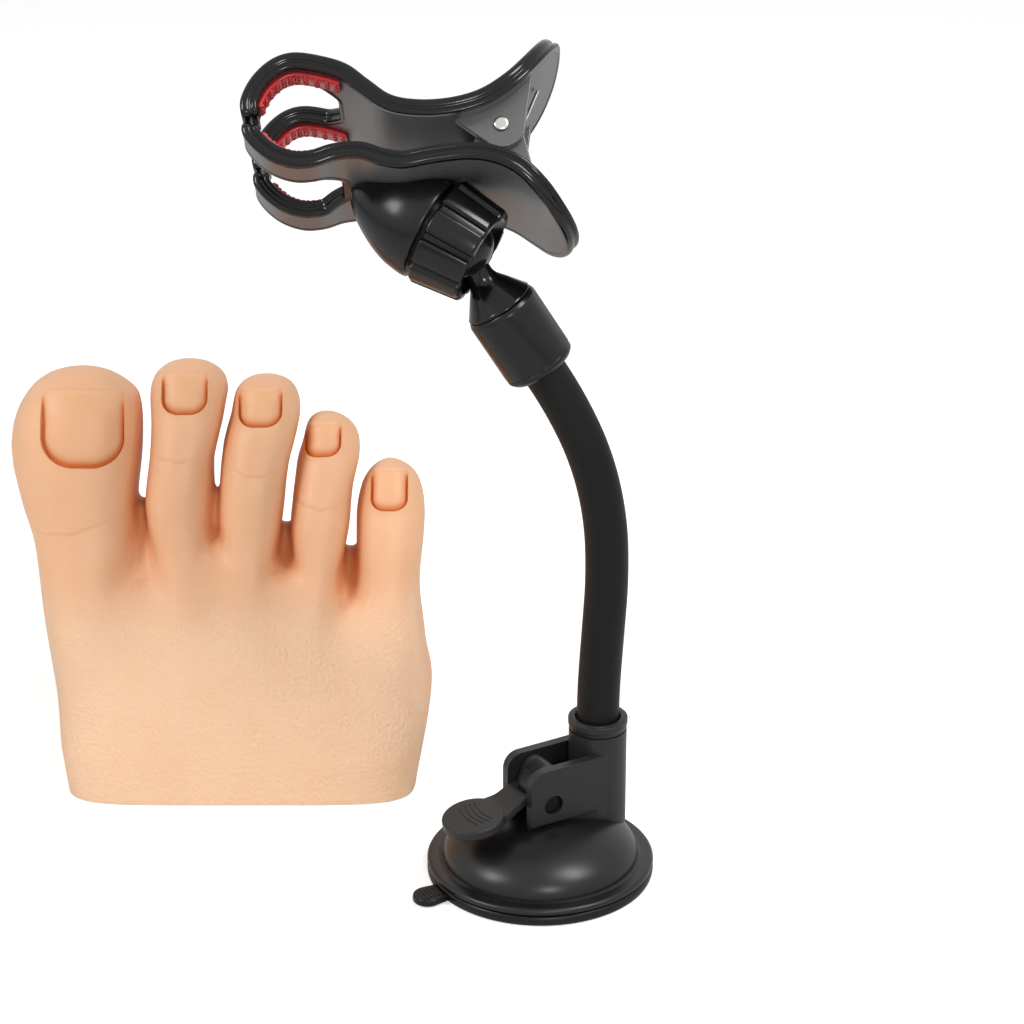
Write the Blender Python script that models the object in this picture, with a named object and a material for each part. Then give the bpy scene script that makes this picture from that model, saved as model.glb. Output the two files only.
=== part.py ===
"""Nail practice foot with its suction-cup gooseneck holder and sprung double clip.

The frame is the foot's: origin at the middle of its flat cut face, +Z up, -Y towards
the person who works on the nails, +X towards the holder. Lengths are in metres.
"""

import math

import bmesh
import bpy
from mathutils import Matrix, Vector
from mathutils.bvhtree import BVHTree

MM = 0.001

# Clearances that several pieces share
GAP = 0.3 * MM                 # between two pieces that touch
OVERRUN = 2.0 * MM             # how far a cutter runs past the face it opens

# Practice foot
FOOT_WIDTH = 118.0 * MM
FOOT_HEIGHT = 115.0 * MM
FOOT_DEPTH = 54.0 * MM
FOOT_VOXEL = 0.7 * MM
FOOT_SMOOTHING_PASSES = 20
FOOT_DETAIL_SHARE = 0.011      # share of the skin's faces that stay
NAIL_BED_DEPTH = 1.5 * MM      # along the fold that a nail tip is pushed under
NAIL_BED_COVER = 6.0 * MM      # how far the cutter stands out of the skin
NAIL_CORNER_SHARE = 0.80       # corner radius of the bed as a share of half its width
NAIL_MIDDLE_SHARE = 0.62       # middle of the bed as a share of its height
NAIL_RING_SHARES = ((1.0, 1.0), (0.86, 0.55), (0.55, 0.25), (0.0, 0.18))   # size, depth

# Place and turn of the holder beside the foot
HOLDER_X = 84.0 * MM
HOLDER_Y = -61.0 * MM
HOLDER_TURN = math.radians(210)

# Suction pad
PAD_RADIUS = 30.5 * MM
PAD_RIM_HEIGHT = 2.8 * MM
PAD_SEAL_WIDTH = 8.0 * MM
PAD_WEB = 1.6 * MM
PAD_LIFT = 2.2 * MM            # hollow under the middle while the lever is locked
PAD_BOSS_RADIUS = 3.8 * MM
PAD_BOSS_TOP = 7.0 * MM
TAB_REACH = 38.6 * MM
TAB_WIDTH = 8.0 * MM
TAB_THICKNESS = 2.0 * MM

# Base housing: dome, post and two cheeks
RIM_RING_THICKNESS = 1.8 * MM
DOME_RADIUS = 26.4 * MM
DOME_RISE = 12.4 * MM
HOUSING_WALL = 2.2 * MM
ROD_HOLE_RADIUS = 2.6 * MM
POST_OFFSET = 17.8 * MM
POST_RADIUS = 7.8 * MM
POST_TOP = 38.3 * MM
POST_BORE_DEPTH = 13.0 * MM
COLLAR_HEIGHT = 3.4 * MM
COLLAR_RADIUS = 8.0 * MM
CHEEK_SPREAD = 15.3 * MM       # over both outer faces
CHEEK_THICKNESS = 2.6 * MM
CHEEK_REACH = 7.2 * MM
CHEEK_TOP = 33.6 * MM
CHEEK_CORNER = 4.4 * MM
AXLE_X = 0.3 * MM
AXLE_Z = 23.0 * MM
AXLE_HOLE_RADIUS = 2.75 * MM

# Lever and its cam
PIN_RADIUS = 1.2 * MM
PIN_RECESS = 1.0 * MM
CAM_RADIUS = 3.4 * MM
CAM_THROW = 1.3 * MM
CAM_REST_ANGLE = math.radians(145)   # its mirror image below the axle is reached when open
HUB_RADIUS = 4.5 * MM
HUB_GAP = 4.6 * MM             # between the hub's two discs, where the eye works
LEVER_WIDTH = 9.2 * MM
LEVER_THICKNESS = 2.4 * MM
THUMB_RADIUS = 8.5 * MM
THUMB_THICKNESS = 2.4 * MM
THUMB_X = 20.6 * MM
THUMB_Z = 20.8 * MM
THUMB_TILT = math.radians(8)
THUMB_GROOVES = 3
GROOVE_WIDTH = 0.6 * MM
GROOVE_PITCH = 2.1 * MM

# Pull rod with its eye
ROD_RADIUS = 1.9 * MM
EYE_WALL = 0.9 * MM
ROD_FOOT_RADIUS = 3.4 * MM
ROD_FOOT_HEIGHT = 1.0 * MM

# Gooseneck: sleeve over a core of six hinged links
SLEEVE_RADIUS = 5.7 * MM
SLEEVE_BORE = 4.7 * MM
CORE_RADIUS = 3.7 * MM
CORE_END_ANGLE = math.radians(16)
FIRST_HINGE_Z = 49.2 * MM
LINK_LENGTH = 17.0 * MM
LAST_LINK_LENGTH = 50.4 * MM   # from the sixth hinge to the ball
ARM_HEADINGS = (0.0, 3.5, 3.5, -2.5, -13.0, -24.5, -32.4)
SLEEVE_END = 20.5 * MM         # above the sixth hinge, inside the ferrule

# Ferrule and ball stud, measured from the ball's centre down the arm
BALL_RADIUS = 9.0 * MM
NECK_RADIUS = 3.5 * MM
SHOULDER = 19.1 * MM
FERRULE_RADIUS = 9.5 * MM
FERRULE_LENGTH = 20.2 * MM
FERRULE_CHAMFER = 1.2 * MM
SPIGOT_RADIUS = 7.0 * MM
SPIGOT_LENGTH = 7.5 * MM

# Ball socket, measured along its axis from the ball's centre
SOCKET_SLOPE = math.radians(-31)
BALL_CLEARANCE = 0.3 * MM
SEAT_THICKNESS = 1.0 * MM
SEAT_MOUTH = 4.3 * MM
BELL_END = 7.4 * MM
BELL_RADIUS = 14.0 * MM
BELL_ROOT = 30.5 * MM
THREAD_RADIUS = 11.1 * MM
THREAD_REACH = 2.0 * MM
NUT_BACK = 6.2 * MM
NUT_FRONT = 7.3 * MM
NUT_BACK_RADIUS = 14.5 * MM
NUT_FRONT_RADIUS = 12.8 * MM
NUT_GRIPS = 10
NUT_GROOVE_DEPTH = 1.3 * MM
NUT_LIP = 4.5 * MM
NUT_MOUTH_RADIUS = 10.8 * MM
NOTCH_CLEARANCE = 0.8 * MM      # round the nut, in the lower shell

# Clip, in its own frame: x along the jaws from the hinge pin, y up, z along the pin
CLIP_TILT = math.radians(51.5)
BALL_U = -10.9 * MM
BALL_V = -24.8 * MM
JAW_REACH = 64.0 * MM
CLIP_WIDTH = 46.0 * MM
SHELL_RIM = 4.2 * MM           # rim thickness
SHELL_PLATE = 2.2 * MM
RIM_WIDTH = 2.2 * MM
RIM_STEP = 0.4 * MM
PRONG_WIDTH = 12.0 * MM        # of each of a jaw's two prongs
WINDOW_WIDTH = CLIP_WIDTH - 2 * PRONG_WIDTH
WINDOW_END = 12.0 * MM         # width of the window's straight end
WINDOW_CHAMFER = 5.0 * MM
WINDOW_REACH = 40.0 * MM       # from the pin to the window's end
PADDLE_ROUND = 24.0 * MM
PADDLE_TIP_WIDTH = 16.0 * MM
HINGE_PIN_RADIUS = 1.45 * MM
HINGE_PIN_HEAD = 2.1 * MM
EAR_RADIUS = 6.0 * MM
EAR_THICKNESS = 2.2 * MM
UPPER_EAR_OUTSIDE = 17.2 * MM
INNER_EAR_RADIUS = 5.0 * MM
UPPER_EAR_SPAN_SHARES = (-0.220, 0.100)    # where an ear leaves its shell, along the jaw
LOWER_EAR_SPAN_SHARES = (-0.141, 0.125)
GRIP_THICKNESS = 1.7 * MM
GRIP_START = 5.0 * MM          # from the jaw's tip, along the outline
GRIP_END = 27.0 * MM
SCREW_RADIUS = 1.4 * MM
SCREW_HEAD_RADIUS = 2.6 * MM
SCREW_HEAD_HEIGHT = 1.5 * MM
SCREW_SPACING = 11.0 * MM
SCREW_SEAT = 0.6 * MM           # above the plate, which bends under the flat head

# Torsion spring on the hinge pin
WIRE_RADIUS = 0.55 * MM
COIL_RADIUS = 3.6 * MM
COIL_TURNS = 6
COIL_PITCH = 1.75 * MM
COIL_STEPS = 9
LEG_ARRIVES = math.radians(20)   # where the lower leg meets the coil
LEG_LEAVES = math.radians(-7)    # where the upper leg leaves it

# Shell outlines along the rim's outer line, tip to paddle, as shares of the jaw's reach
UPPER_LINE_SHARES = (
    (-0.994, -0.011), (-1.003, 0.066), (-0.963, 0.159), (-0.891, 0.233), (-0.805, 0.264),
    (-0.695, 0.250), (-0.594, 0.216), (-0.508, 0.150), (-0.422, 0.089), (-0.313, 0.070),
    (-0.188, 0.080), (-0.078, 0.116), (0.016, 0.183), (0.086, 0.266), (0.145, 0.369),
    (0.188, 0.475),
)
LOWER_LINE_SHARES = (
    (-0.994, -0.017), (-0.992, -0.070), (-0.950, -0.130), (-0.883, -0.181), (-0.797, -0.209),
    (-0.711, -0.203), (-0.633, -0.177), (-0.547, -0.170), (-0.469, -0.195), (-0.375, -0.209),
    (-0.266, -0.189), (-0.141, -0.173), (-0.047, -0.181), (0.047, -0.219), (0.125, -0.284),
    (0.195, -0.358), (0.266, -0.422),
)

# Bell outline: place along the bell and radius, as shares of its length and end radius
BELL_SHARES = ((0.00, 0.97), (0.03, 1.00), (0.14, 0.92), (0.33, 0.80), (0.55, 0.65),
               (0.78, 0.46), (0.93, 0.26), (1.00, 0.08))

# Lever arm: middle line of the arm from its hub to the thumb disc, as shares of the
# disc's distance from the axle and of the arm's rise above it
LEVER_RISE = 9.6 * MM
LEVER_ARM_SHARES = ((0.08, 0.62), (0.13, 0.88), (0.25, 1.02), (0.38, 0.93), (0.50, 0.58),
                    (0.61, 0.13), (0.72, -0.16))

# Body of the foot: height, left, right, front and back as shares of height, width, depth
BODY_SHARES = (
    (-0.10, -0.418, 0.398, -0.48, 0.46),
    (0.00, -0.425, 0.405, -0.49, 0.48),
    (0.10, -0.452, 0.426, -0.45, 0.51),
    (0.20, -0.468, 0.444, -0.39, 0.55),
    (0.30, -0.480, 0.450, -0.32, 0.60),
    (0.40, -0.490, 0.430, -0.23, 0.62),
    (0.48, -0.485, 0.400, -0.12, 0.56),
    (0.54, -0.440, 0.350, 0.00, 0.46),
    (0.58, -0.380, 0.280, 0.14, 0.34),
)
# Height of the instep across the foot, as shares of the body's own top
INSTEP_PLACE_SHARES = (-0.50, -0.30, -0.235, -0.15, -0.06, 0.03, 0.09, 0.16, 0.225, 0.32, 0.45)
INSTEP_HEIGHT_SHARES = (0.90, 0.84, 0.74, 0.84, 0.92, 0.90, 0.80, 0.70, 0.58, 0.56, 0.56)
# Webs between the toes: left, right, height in front, height behind, and step back
WEB_SHARES = (
    (-0.330, -0.150, 0.470, 0.645, 0.04), (-0.140, 0.020, 0.560, 0.660, 0.01),
    (0.020, 0.190, 0.485, 0.580, 0.03), (0.165, 0.340, 0.370, 0.515, 0.08),
)
# Front of the webs at each height, and their shape from there to the back:
# step back from the front, and height above the web's front edge or below its back one
WEB_HEIGHT_SHARES = (0.15, 0.20, 0.25, 0.30, 0.35, 0.40, 0.45, 0.50, 0.55, 0.60)
WEB_FRONT_SHARES = (-0.37, -0.34, -0.31, -0.28, -0.23, -0.17, -0.105, -0.035, 0.025, 0.07)
WEB_LIP_SHARES = ((0.0, -0.12), (0.0, -0.04), (0.02, -0.010), (0.06, 0.005))
WEB_CREST_SHARES = ((0.24, -0.06), (0.32, -0.012), (0.38, 0.0), (0.44, -0.015), (0.48, -0.07))
WEB_FOOT_SHARE = 0.15
# Toes: height, left, right, front and back of each ring, big toe first
TOE_SHARES = (
    ((0.215, -0.462, -0.250, -0.262, 0.436), (0.385, -0.488, -0.261, -0.189, 0.537),
     (0.458, -0.495, -0.270, -0.139, 0.565), (0.520, -0.500, -0.264, -0.074, 0.589),
     (0.559, -0.505, -0.260, -0.032, 0.602), (0.599, -0.516, -0.258, 0.007, 0.614),
     (0.646, -0.532, -0.254, 0.041, 0.638), (0.694, -0.543, -0.249, 0.061, 0.671),
     (0.744, -0.553, -0.241, 0.079, 0.692), (0.793, -0.557, -0.237, 0.110, 0.709),
     (0.841, -0.551, -0.236, 0.149, 0.720), (0.882, -0.539, -0.238, 0.185, 0.720),
     (0.915, -0.521, -0.247, 0.223, 0.703), (0.940, -0.502, -0.273, 0.267, 0.682),
     (0.960, -0.476, -0.300, 0.318, 0.642), (0.975, -0.441, -0.331, 0.383, 0.581),
     (0.982, -0.405, -0.360, 0.430, 0.540)),
    ((0.373, -0.199, -0.078, -0.238, 0.376), (0.451, -0.200, -0.076, -0.139, 0.433),
     (0.503, -0.205, -0.075, -0.061, 0.451), (0.542, -0.214, -0.073, -0.007, 0.459),
     (0.580, -0.225, -0.071, 0.034, 0.474), (0.620, -0.234, -0.069, 0.055, 0.490),
     (0.662, -0.236, -0.068, 0.063, 0.508), (0.712, -0.230, -0.068, 0.074, 0.534),
     (0.760, -0.223, -0.068, 0.107, 0.567), (0.806, -0.221, -0.058, 0.151, 0.611),
     (0.850, -0.220, -0.047, 0.201, 0.656), (0.894, -0.223, -0.040, 0.252, 0.684),
     (0.929, -0.222, -0.033, 0.292, 0.687), (0.958, -0.215, -0.038, 0.328, 0.674),
     (0.977, -0.202, -0.051, 0.366, 0.643), (0.993, -0.180, -0.075, 0.413, 0.606),
     (1.003, -0.154, -0.102, 0.460, 0.560)),
    ((0.351, -0.047, 0.073, -0.258, 0.372), (0.448, -0.047, 0.071, -0.138, 0.437),
     (0.501, -0.047, 0.075, -0.064, 0.453), (0.540, -0.049, 0.083, -0.018, 0.461),
     (0.580, -0.052, 0.093, 0.015, 0.474), (0.620, -0.053, 0.100, 0.038, 0.488),
     (0.662, -0.051, 0.105, 0.052, 0.503), (0.711, -0.047, 0.110, 0.073, 0.533),
     (0.757, -0.043, 0.116, 0.115, 0.575), (0.794, -0.039, 0.126, 0.161, 0.615),
     (0.830, -0.034, 0.136, 0.207, 0.649), (0.867, -0.028, 0.143, 0.256, 0.670),
     (0.898, -0.023, 0.141, 0.292, 0.669), (0.926, -0.018, 0.132, 0.324, 0.653),
     (0.947, -0.003, 0.117, 0.366, 0.621), (0.959, 0.014, 0.097, 0.407, 0.583),
     (0.964, 0.036, 0.071, 0.430, 0.560)),
    ((0.272, 0.131, 0.212, -0.284, 0.362), (0.387, 0.136, 0.218, -0.166, 0.430),
     (0.441, 0.137, 0.224, -0.093, 0.442), (0.487, 0.130, 0.232, -0.032, 0.457),
     (0.526, 0.120, 0.243, 0.005, 0.475), (0.565, 0.114, 0.251, 0.035, 0.495),
     (0.605, 0.113, 0.257, 0.057, 0.517), (0.644, 0.119, 0.259, 0.089, 0.549),
     (0.682, 0.123, 0.263, 0.128, 0.585), (0.718, 0.127, 0.271, 0.175, 0.622),
     (0.755, 0.132, 0.280, 0.226, 0.639), (0.786, 0.140, 0.281, 0.272, 0.640),
     (0.814, 0.147, 0.277, 0.305, 0.627), (0.838, 0.154, 0.263, 0.340, 0.604),
     (0.856, 0.165, 0.240, 0.383, 0.567), (0.866, 0.186, 0.219, 0.420, 0.530)),
    ((0.155, 0.263, 0.419, -0.266, 0.347), (0.262, 0.270, 0.439, -0.205, 0.420),
     (0.341, 0.269, 0.440, -0.127, 0.453), (0.405, 0.269, 0.427, -0.066, 0.465),
     (0.461, 0.270, 0.425, -0.017, 0.481), (0.516, 0.271, 0.431, 0.027, 0.504),
     (0.571, 0.273, 0.438, 0.074, 0.536), (0.617, 0.278, 0.442, 0.122, 0.565),
     (0.656, 0.284, 0.438, 0.169, 0.570), (0.689, 0.292, 0.430, 0.213, 0.554),
     (0.714, 0.304, 0.414, 0.260, 0.523), (0.732, 0.321, 0.386, 0.310, 0.485),
     (0.741, 0.342, 0.365, 0.340, 0.460)),
)
# Nails: middle, width, and height of the cuticle and of the free edge
NAIL_SHARES = (
    (-0.372, 0.188, 0.775, 0.940), (-0.127, 0.104, 0.885, 0.968), (0.052, 0.098, 0.850, 0.936),
    (0.203, 0.082, 0.770, 0.840), (0.360, 0.084, 0.655, 0.722),
)
TOE_NAMES = ("big", "second", "middle", "fourth", "little")

# Finishes: colour, roughness and metallic value
FINISHES = {
    "silicone_skin": ((0.86, 0.60, 0.43), 0.45, 0.0),
    "satin_black": ((0.022, 0.023, 0.026), 0.42, 0.0),
    "gloss_black": ((0.012, 0.012, 0.014), 0.18, 0.0),
    "rubber_black": ((0.020, 0.020, 0.022), 0.62, 0.0),
    "sleeve_black": ((0.030, 0.030, 0.032), 0.50, 0.0),
    "grip_red": ((0.42, 0.02, 0.03), 0.35, 0.0),
    "steel": ((0.62, 0.62, 0.64), 0.25, 1.0),
    "white_nylon": ((0.70, 0.70, 0.68), 0.45, 0.0),
}


def clear_scene():
    """Remove every object that the file opens with."""
    for thing in list(bpy.data.objects):
        bpy.data.objects.remove(thing, do_unlink=True)


def finish_for(node, finish):
    """A material of its own for one node."""
    colour, roughness, metallic = FINISHES[finish]
    material = bpy.data.materials.new(node + "_" + finish)
    material.use_nodes = True
    shader = material.node_tree.nodes["Principled BSDF"]
    shader.inputs["Base Color"].default_value = (*colour, 1.0)
    shader.inputs["Roughness"].default_value = roughness
    shader.inputs["Metallic"].default_value = metallic
    return material


def frame(name, location=(0, 0, 0), matrix=None, parent=None):
    """An empty that carries a sub-assembly, placed in its parent's axes."""
    empty = bpy.data.objects.new(name, None)
    bpy.context.collection.objects.link(empty)
    empty.parent = parent
    empty.matrix_basis = Matrix.Translation(location) @ (matrix or Matrix())
    return empty


def mesh_from(name, points, faces):
    """A mesh with its faces turned outward and its coincident points merged."""
    mesh = bpy.data.meshes.new(name)
    mesh.from_pydata([tuple(point) for point in points], [], faces)
    edit = bmesh.new()
    edit.from_mesh(mesh)
    bmesh.ops.remove_doubles(edit, verts=edit.verts, dist=GAP / 100)
    bmesh.ops.recalc_face_normals(edit, faces=edit.faces)
    edit.to_mesh(mesh)
    edit.free()
    mesh.shade_smooth()
    mesh.set_sharp_from_angle(angle=math.radians(32))
    return mesh


def piece(name, mesh, finish, parent=None, location=(0, 0, 0), matrix=None):
    """One node: an object with its own material, placed in its parent's axes."""
    thing = bpy.data.objects.new(name, mesh)
    bpy.context.collection.objects.link(thing)
    thing.parent = parent
    thing.matrix_basis = Matrix.Translation(location) @ (matrix or Matrix())
    mesh.materials.append(finish_for(name, finish))
    return thing


def tool(name, mesh, parent=None, location=(0, 0, 0), matrix=None):
    """A shape that only cuts or joins: hidden, and drawn as wire."""
    thing = bpy.data.objects.new(name, mesh)
    bpy.context.collection.objects.link(thing)
    thing.parent = parent
    thing.matrix_basis = Matrix.Translation(location) @ (matrix or Matrix())
    thing.hide_render = True
    thing.display_type = "WIRE"
    return thing


def combine(target, other, operation):
    """Cut, join or keep the overlap of two closed shapes."""
    modifier = target.modifiers.new(other.name, "BOOLEAN")
    modifier.operation = operation
    modifier.object = other
    modifier.solver = "EXACT"


def turned(name, profile, sides, closed=False):
    """A shape turned about Z from (radius, height) points, open at both ends on the
    axis, or closed into a ring."""
    points = []
    rings = []
    for radius, height in profile:
        if radius < GAP / 100:
            rings.append([len(points)] * sides)
            points.append((0.0, 0.0, height))
            continue
        start = len(points)
        for step in range(sides):
            angle = 2 * math.pi * step / sides
            points.append((radius * math.cos(angle), radius * math.sin(angle), height))
        rings.append([start + step for step in range(sides)])
    faces = []
    last = len(rings) if closed else len(rings) - 1
    for index in range(last):
        low = rings[index]
        high = rings[(index + 1) % len(rings)]
        for step in range(sides):
            after = (step + 1) % sides
            corners = [low[step], low[after], high[after], high[step]]
            unique = list(dict.fromkeys(corners))
            if len(unique) > 2:
                faces.append(unique)
    if not closed:
        for ring in (rings[0], rings[-1]):
            if len(set(ring)) > 2:
                faces.append(list(ring))
    return mesh_from(name, points, faces)


def prism(name, outline, low, high):
    """An outline in XY drawn out along Z."""
    count = len(outline)
    points = [(x, y, low) for x, y in outline] + [(x, y, high) for x, y in outline]
    faces = [list(range(count)), list(range(count, 2 * count))]
    for index in range(count):
        after = (index + 1) % count
        faces.append([index, after, count + after, count + index])
    return mesh_from(name, points, faces)


def arc(centre, radius, start, end, steps):
    """Points along an arc in a plane, its angles in degrees."""
    points = []
    for step in range(steps + 1):
        angle = math.radians(start + (end - start) * step / steps)
        points.append((centre[0] + radius * math.cos(angle), centre[1] + radius * math.sin(angle)))
    return points


def circle(centre, radius, sides):
    """Points round a circle in a plane."""
    return arc(centre, radius, 0, 360, sides)[:-1]


def along(axis):
    """The rotation that turns Z onto an axis."""
    return Vector((0, 0, 1)).rotation_difference(Vector(axis)).to_matrix().to_4x4()


class Line:
    """A smooth plane curve through hand-set points, read by its length from the start."""

    def __init__(self, knots, steps=12):
        self.points = []
        ends = [knots[0]] + list(knots) + [knots[-1]]
        for index in range(1, len(ends) - 2):
            before, start, end, after = (Vector(ends[index + shift]) for shift in (-1, 0, 1, 2))
            for step in range(steps):
                share = step / steps
                self.points.append(self.blend(before, start, end, after, share))
        self.points.append(Vector(knots[-1]))
        self.lengths = [0.0]
        for start, end in zip(self.points, self.points[1:]):
            self.lengths.append(self.lengths[-1] + (end - start).length)
        self.length = self.lengths[-1]

    @staticmethod
    def blend(before, start, end, after, share):
        """One point of a Catmull-Rom stretch."""
        square = share * share
        cube = square * share
        return 0.5 * (2 * start + (end - before) * share
                      + (2 * before - 5 * start + 4 * end - after) * square
                      + (3 * start - before - 3 * end + after) * cube)

    def at(self, length):
        """The point and the direction of travel at a length."""
        length = min(max(length, 0.0), self.length)
        index = 0
        while index < len(self.lengths) - 2 and self.lengths[index + 1] < length:
            index += 1
        start = self.points[index]
        end = self.points[index + 1]
        share = (length - self.lengths[index]) / (self.lengths[index + 1] - self.lengths[index])
        low = self.points[max(index - 1, 0)]
        high = self.points[min(index + 2, len(self.points) - 1)]
        return start.lerp(end, share), (high - low).normalized()

    def length_at_x(self, place):
        """The length at which the curve, going towards +X, passes a place in x."""
        for index, point in enumerate(self.points):
            if index and point.x >= place > self.points[index - 1].x:
                return self.lengths[index]
        return self.length


def table_value(place, places, values):
    """A value read off a table by straight lines."""
    if place <= places[0]:
        return values[0]
    for index in range(1, len(places)):
        if place <= places[index]:
            share = (place - places[index - 1]) / (places[index] - places[index - 1])
            return values[index - 1] + share * (values[index] - values[index - 1])
    return values[-1]


# Practice foot


def lofted(name, rings):
    """Rings of equally many points, joined in order and closed at both ends."""
    sides = len(rings[0])
    points = [point for ring in rings for point in ring]
    faces = [list(range(sides)), list(range(len(points) - sides, len(points)))]
    for index in range(len(rings) - 1):
        for step in range(sides):
            after = (step + 1) % sides
            low = index * sides
            faces.append([low + step, low + after, low + sides + after, low + sides + step])
    return mesh_from(name, points, faces)


def oval(left, right, front, back, squareness, sides):
    """Points round an oval between four limits, squarer as the exponent grows."""
    points = []
    for step in range(sides):
        angle = 2 * math.pi * step / sides
        across = math.copysign(abs(math.cos(angle)) ** (2 / squareness), math.cos(angle))
        deep = math.copysign(abs(math.sin(angle)) ** (2 / squareness), math.sin(angle))
        points.append(((left + right) / 2 + across * (right - left) / 2,
                       (front + back) / 2 + deep * (back - front) / 2))
    return points


def foot_body():
    """The instep: a loft under a top line that dips between the toes."""
    rings = []
    top = BODY_SHARES[-1][0]
    for height, left, right, front, back in BODY_SHARES:
        ring = []
        for across, deep in oval(left, right, front, back, 2.7, 40):
            dip = table_value(across, INSTEP_PLACE_SHARES, INSTEP_HEIGHT_SHARES)
            lowered = height * (1 - (1 - dip) * max(height, 0) / top)
            ring.append((across * FOOT_WIDTH, deep * FOOT_DEPTH, lowered * FOOT_HEIGHT))
        rings.append(ring)
    return lofted("foot_body", rings)


def foot_toe(name, shares):
    """One toe: a loft that starts inside the instep and closes at its tip."""
    rings = []
    for height, left, right, front, back in shares:
        rings.append([(across * FOOT_WIDTH, deep * FOOT_DEPTH, height * FOOT_HEIGHT)
                      for across, deep in oval(left, right, front, back, 2.3, 20)])
    return lofted(name, rings)


def toe_web(name, shares):
    """Skin between two toes: level with them in front, and a rounded pad behind."""
    left, right, low, high, back = shares
    outline = []
    for step, rise in WEB_LIP_SHARES:
        front = table_value(low + min(rise, 0.0), WEB_HEIGHT_SHARES, WEB_FRONT_SHARES)
        outline.append((front + back + step, low + rise))
    outline += [(deep, high + rise) for deep, rise in WEB_CREST_SHARES]
    outline += [(outline[-1][0], WEB_FOOT_SHARE), (outline[0][0], WEB_FOOT_SHARE)]
    rings = []
    for across in (left, right):
        rings.append([(across * FOOT_WIDTH, deep * FOOT_DEPTH, height * FOOT_HEIGHT)
                      for deep, height in outline])
    return lofted(name, rings)


def nail_bed(name, shares, skin):
    """The U-shaped bed that a nail tip is pushed into: deepest along its fold, and laid
    on the toe's own surface."""
    middle, width, cuticle, edge = shares
    half = width * FOOT_WIDTH / 2
    ends = []
    for height in (cuticle, edge):
        start = Vector((middle * FOOT_WIDTH, -FOOT_DEPTH, height * FOOT_HEIGHT))
        ends.append(skin.ray_cast(start, Vector((0, 1, 0)))[0])
    up = (ends[1] - ends[0]).normalized()
    across = Vector((1, 0, 0))
    out = across.cross(up)
    top = (ends[1] - ends[0]).length
    corner = half * NAIL_CORNER_SHARE
    right = [(half, top), (half, (top + corner) / 2)] + arc((half - corner, corner), corner, 0, -90, 4)
    outline = right + [(-x, y) for x, y in reversed(right)]
    middle = top * NAIL_MIDDLE_SHARE
    points = [ends[0] + across * x + up * y + out * NAIL_BED_COVER for x, y in outline]
    for size, depth in NAIL_RING_SHARES:
        for x, y in outline if size else [(0.0, middle)]:
            low = middle + (y - middle) * size
            start = ends[0] + across * x * size + up * low + out * NAIL_BED_COVER
            rise = min(1.0, (top - low) / corner)
            surface = skin.ray_cast(start, -out)[0]
            points.append(surface - out * max(NAIL_BED_DEPTH * depth * rise, GAP))
    count = len(outline)
    faces = [list(range(count))]
    for ring in range(len(NAIL_RING_SHARES)):
        low = ring * count
        for step in range(count):
            after = (step + 1) % count
            if ring < len(NAIL_RING_SHARES) - 1:
                faces.append([low + step, low + after, low + count + after, low + count + step])
            else:
                faces.append([low + step, low + after, len(points) - 1])
    return tool(name, mesh_from(name, points, faces))


def make_foot():
    """The silicone foot: instep and toes melted into one skin, cut flat below."""
    skin = foot_body()
    edit = bmesh.new()
    edit.from_mesh(skin)
    for name, shares in zip(TOE_NAMES, TOE_SHARES):
        edit.from_mesh(foot_toe(name, shares))
    for index, shares in enumerate(WEB_SHARES):
        edit.from_mesh(toe_web("web_%d" % (index + 1), shares))
    edit.to_mesh(skin)
    edit.free()
    blank = tool("foot_blank", skin)
    melt = blank.modifiers.new("melt", "REMESH")
    melt.mode = "VOXEL"
    melt.voxel_size = FOOT_VOXEL
    melt.use_smooth_shade = True
    soften = blank.modifiers.new("soften", "SMOOTH")
    soften.factor = 0.6
    soften.iterations = round(FOOT_SMOOTHING_PASSES)
    thin = blank.modifiers.new("thin", "DECIMATE")
    thin.ratio = FOOT_DETAIL_SHARE
    graph = bpy.context.evaluated_depsgraph_get()
    shaped = bpy.data.meshes.new_from_object(blank.evaluated_get(graph))
    bpy.data.objects.remove(blank, do_unlink=True)
    edit = bmesh.new()
    edit.from_mesh(shaped)
    everything = edit.verts[:] + edit.edges[:] + edit.faces[:]
    cut = bmesh.ops.bisect_plane(edit, geom=everything, plane_co=(0, 0, 0), plane_no=(0, 0, -1),
                                 clear_outer=True)
    rim = [part for part in cut["geom_cut"] if isinstance(part, bmesh.types.BMEdge)]
    bmesh.ops.contextual_create(edit, geom=rim)
    bmesh.ops.triangulate(edit, faces=edit.faces)
    edit.to_mesh(shaped)
    edit.free()
    shaped.name = "practice_foot"
    shaped.shade_smooth()
    shaped.set_sharp_from_angle(angle=math.radians(60))
    foot = piece("practice_foot", shaped, "silicone_skin")
    skin = BVHTree.FromPolygons([vert.co for vert in shaped.vertices],
                                [face.vertices[:] for face in shaped.polygons])
    for toe, shares in zip(TOE_NAMES, NAIL_SHARES):
        combine(foot, nail_bed(toe + "_nail_bed", shares, skin), "DIFFERENCE")
    return foot


# Base


def dome_profile(shrink, steps):
    """Quarter of the dome's outline, from its foot to its top."""
    radius = DOME_RADIUS - shrink
    rise = DOME_RISE - shrink
    base = PAD_RIM_HEIGHT + GAP + RIM_RING_THICKNESS
    angles = [math.pi / 2 * step / steps for step in range(steps + 1)]
    return [(radius * math.cos(angle), base + rise * math.sin(angle)) for angle in angles]


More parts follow.
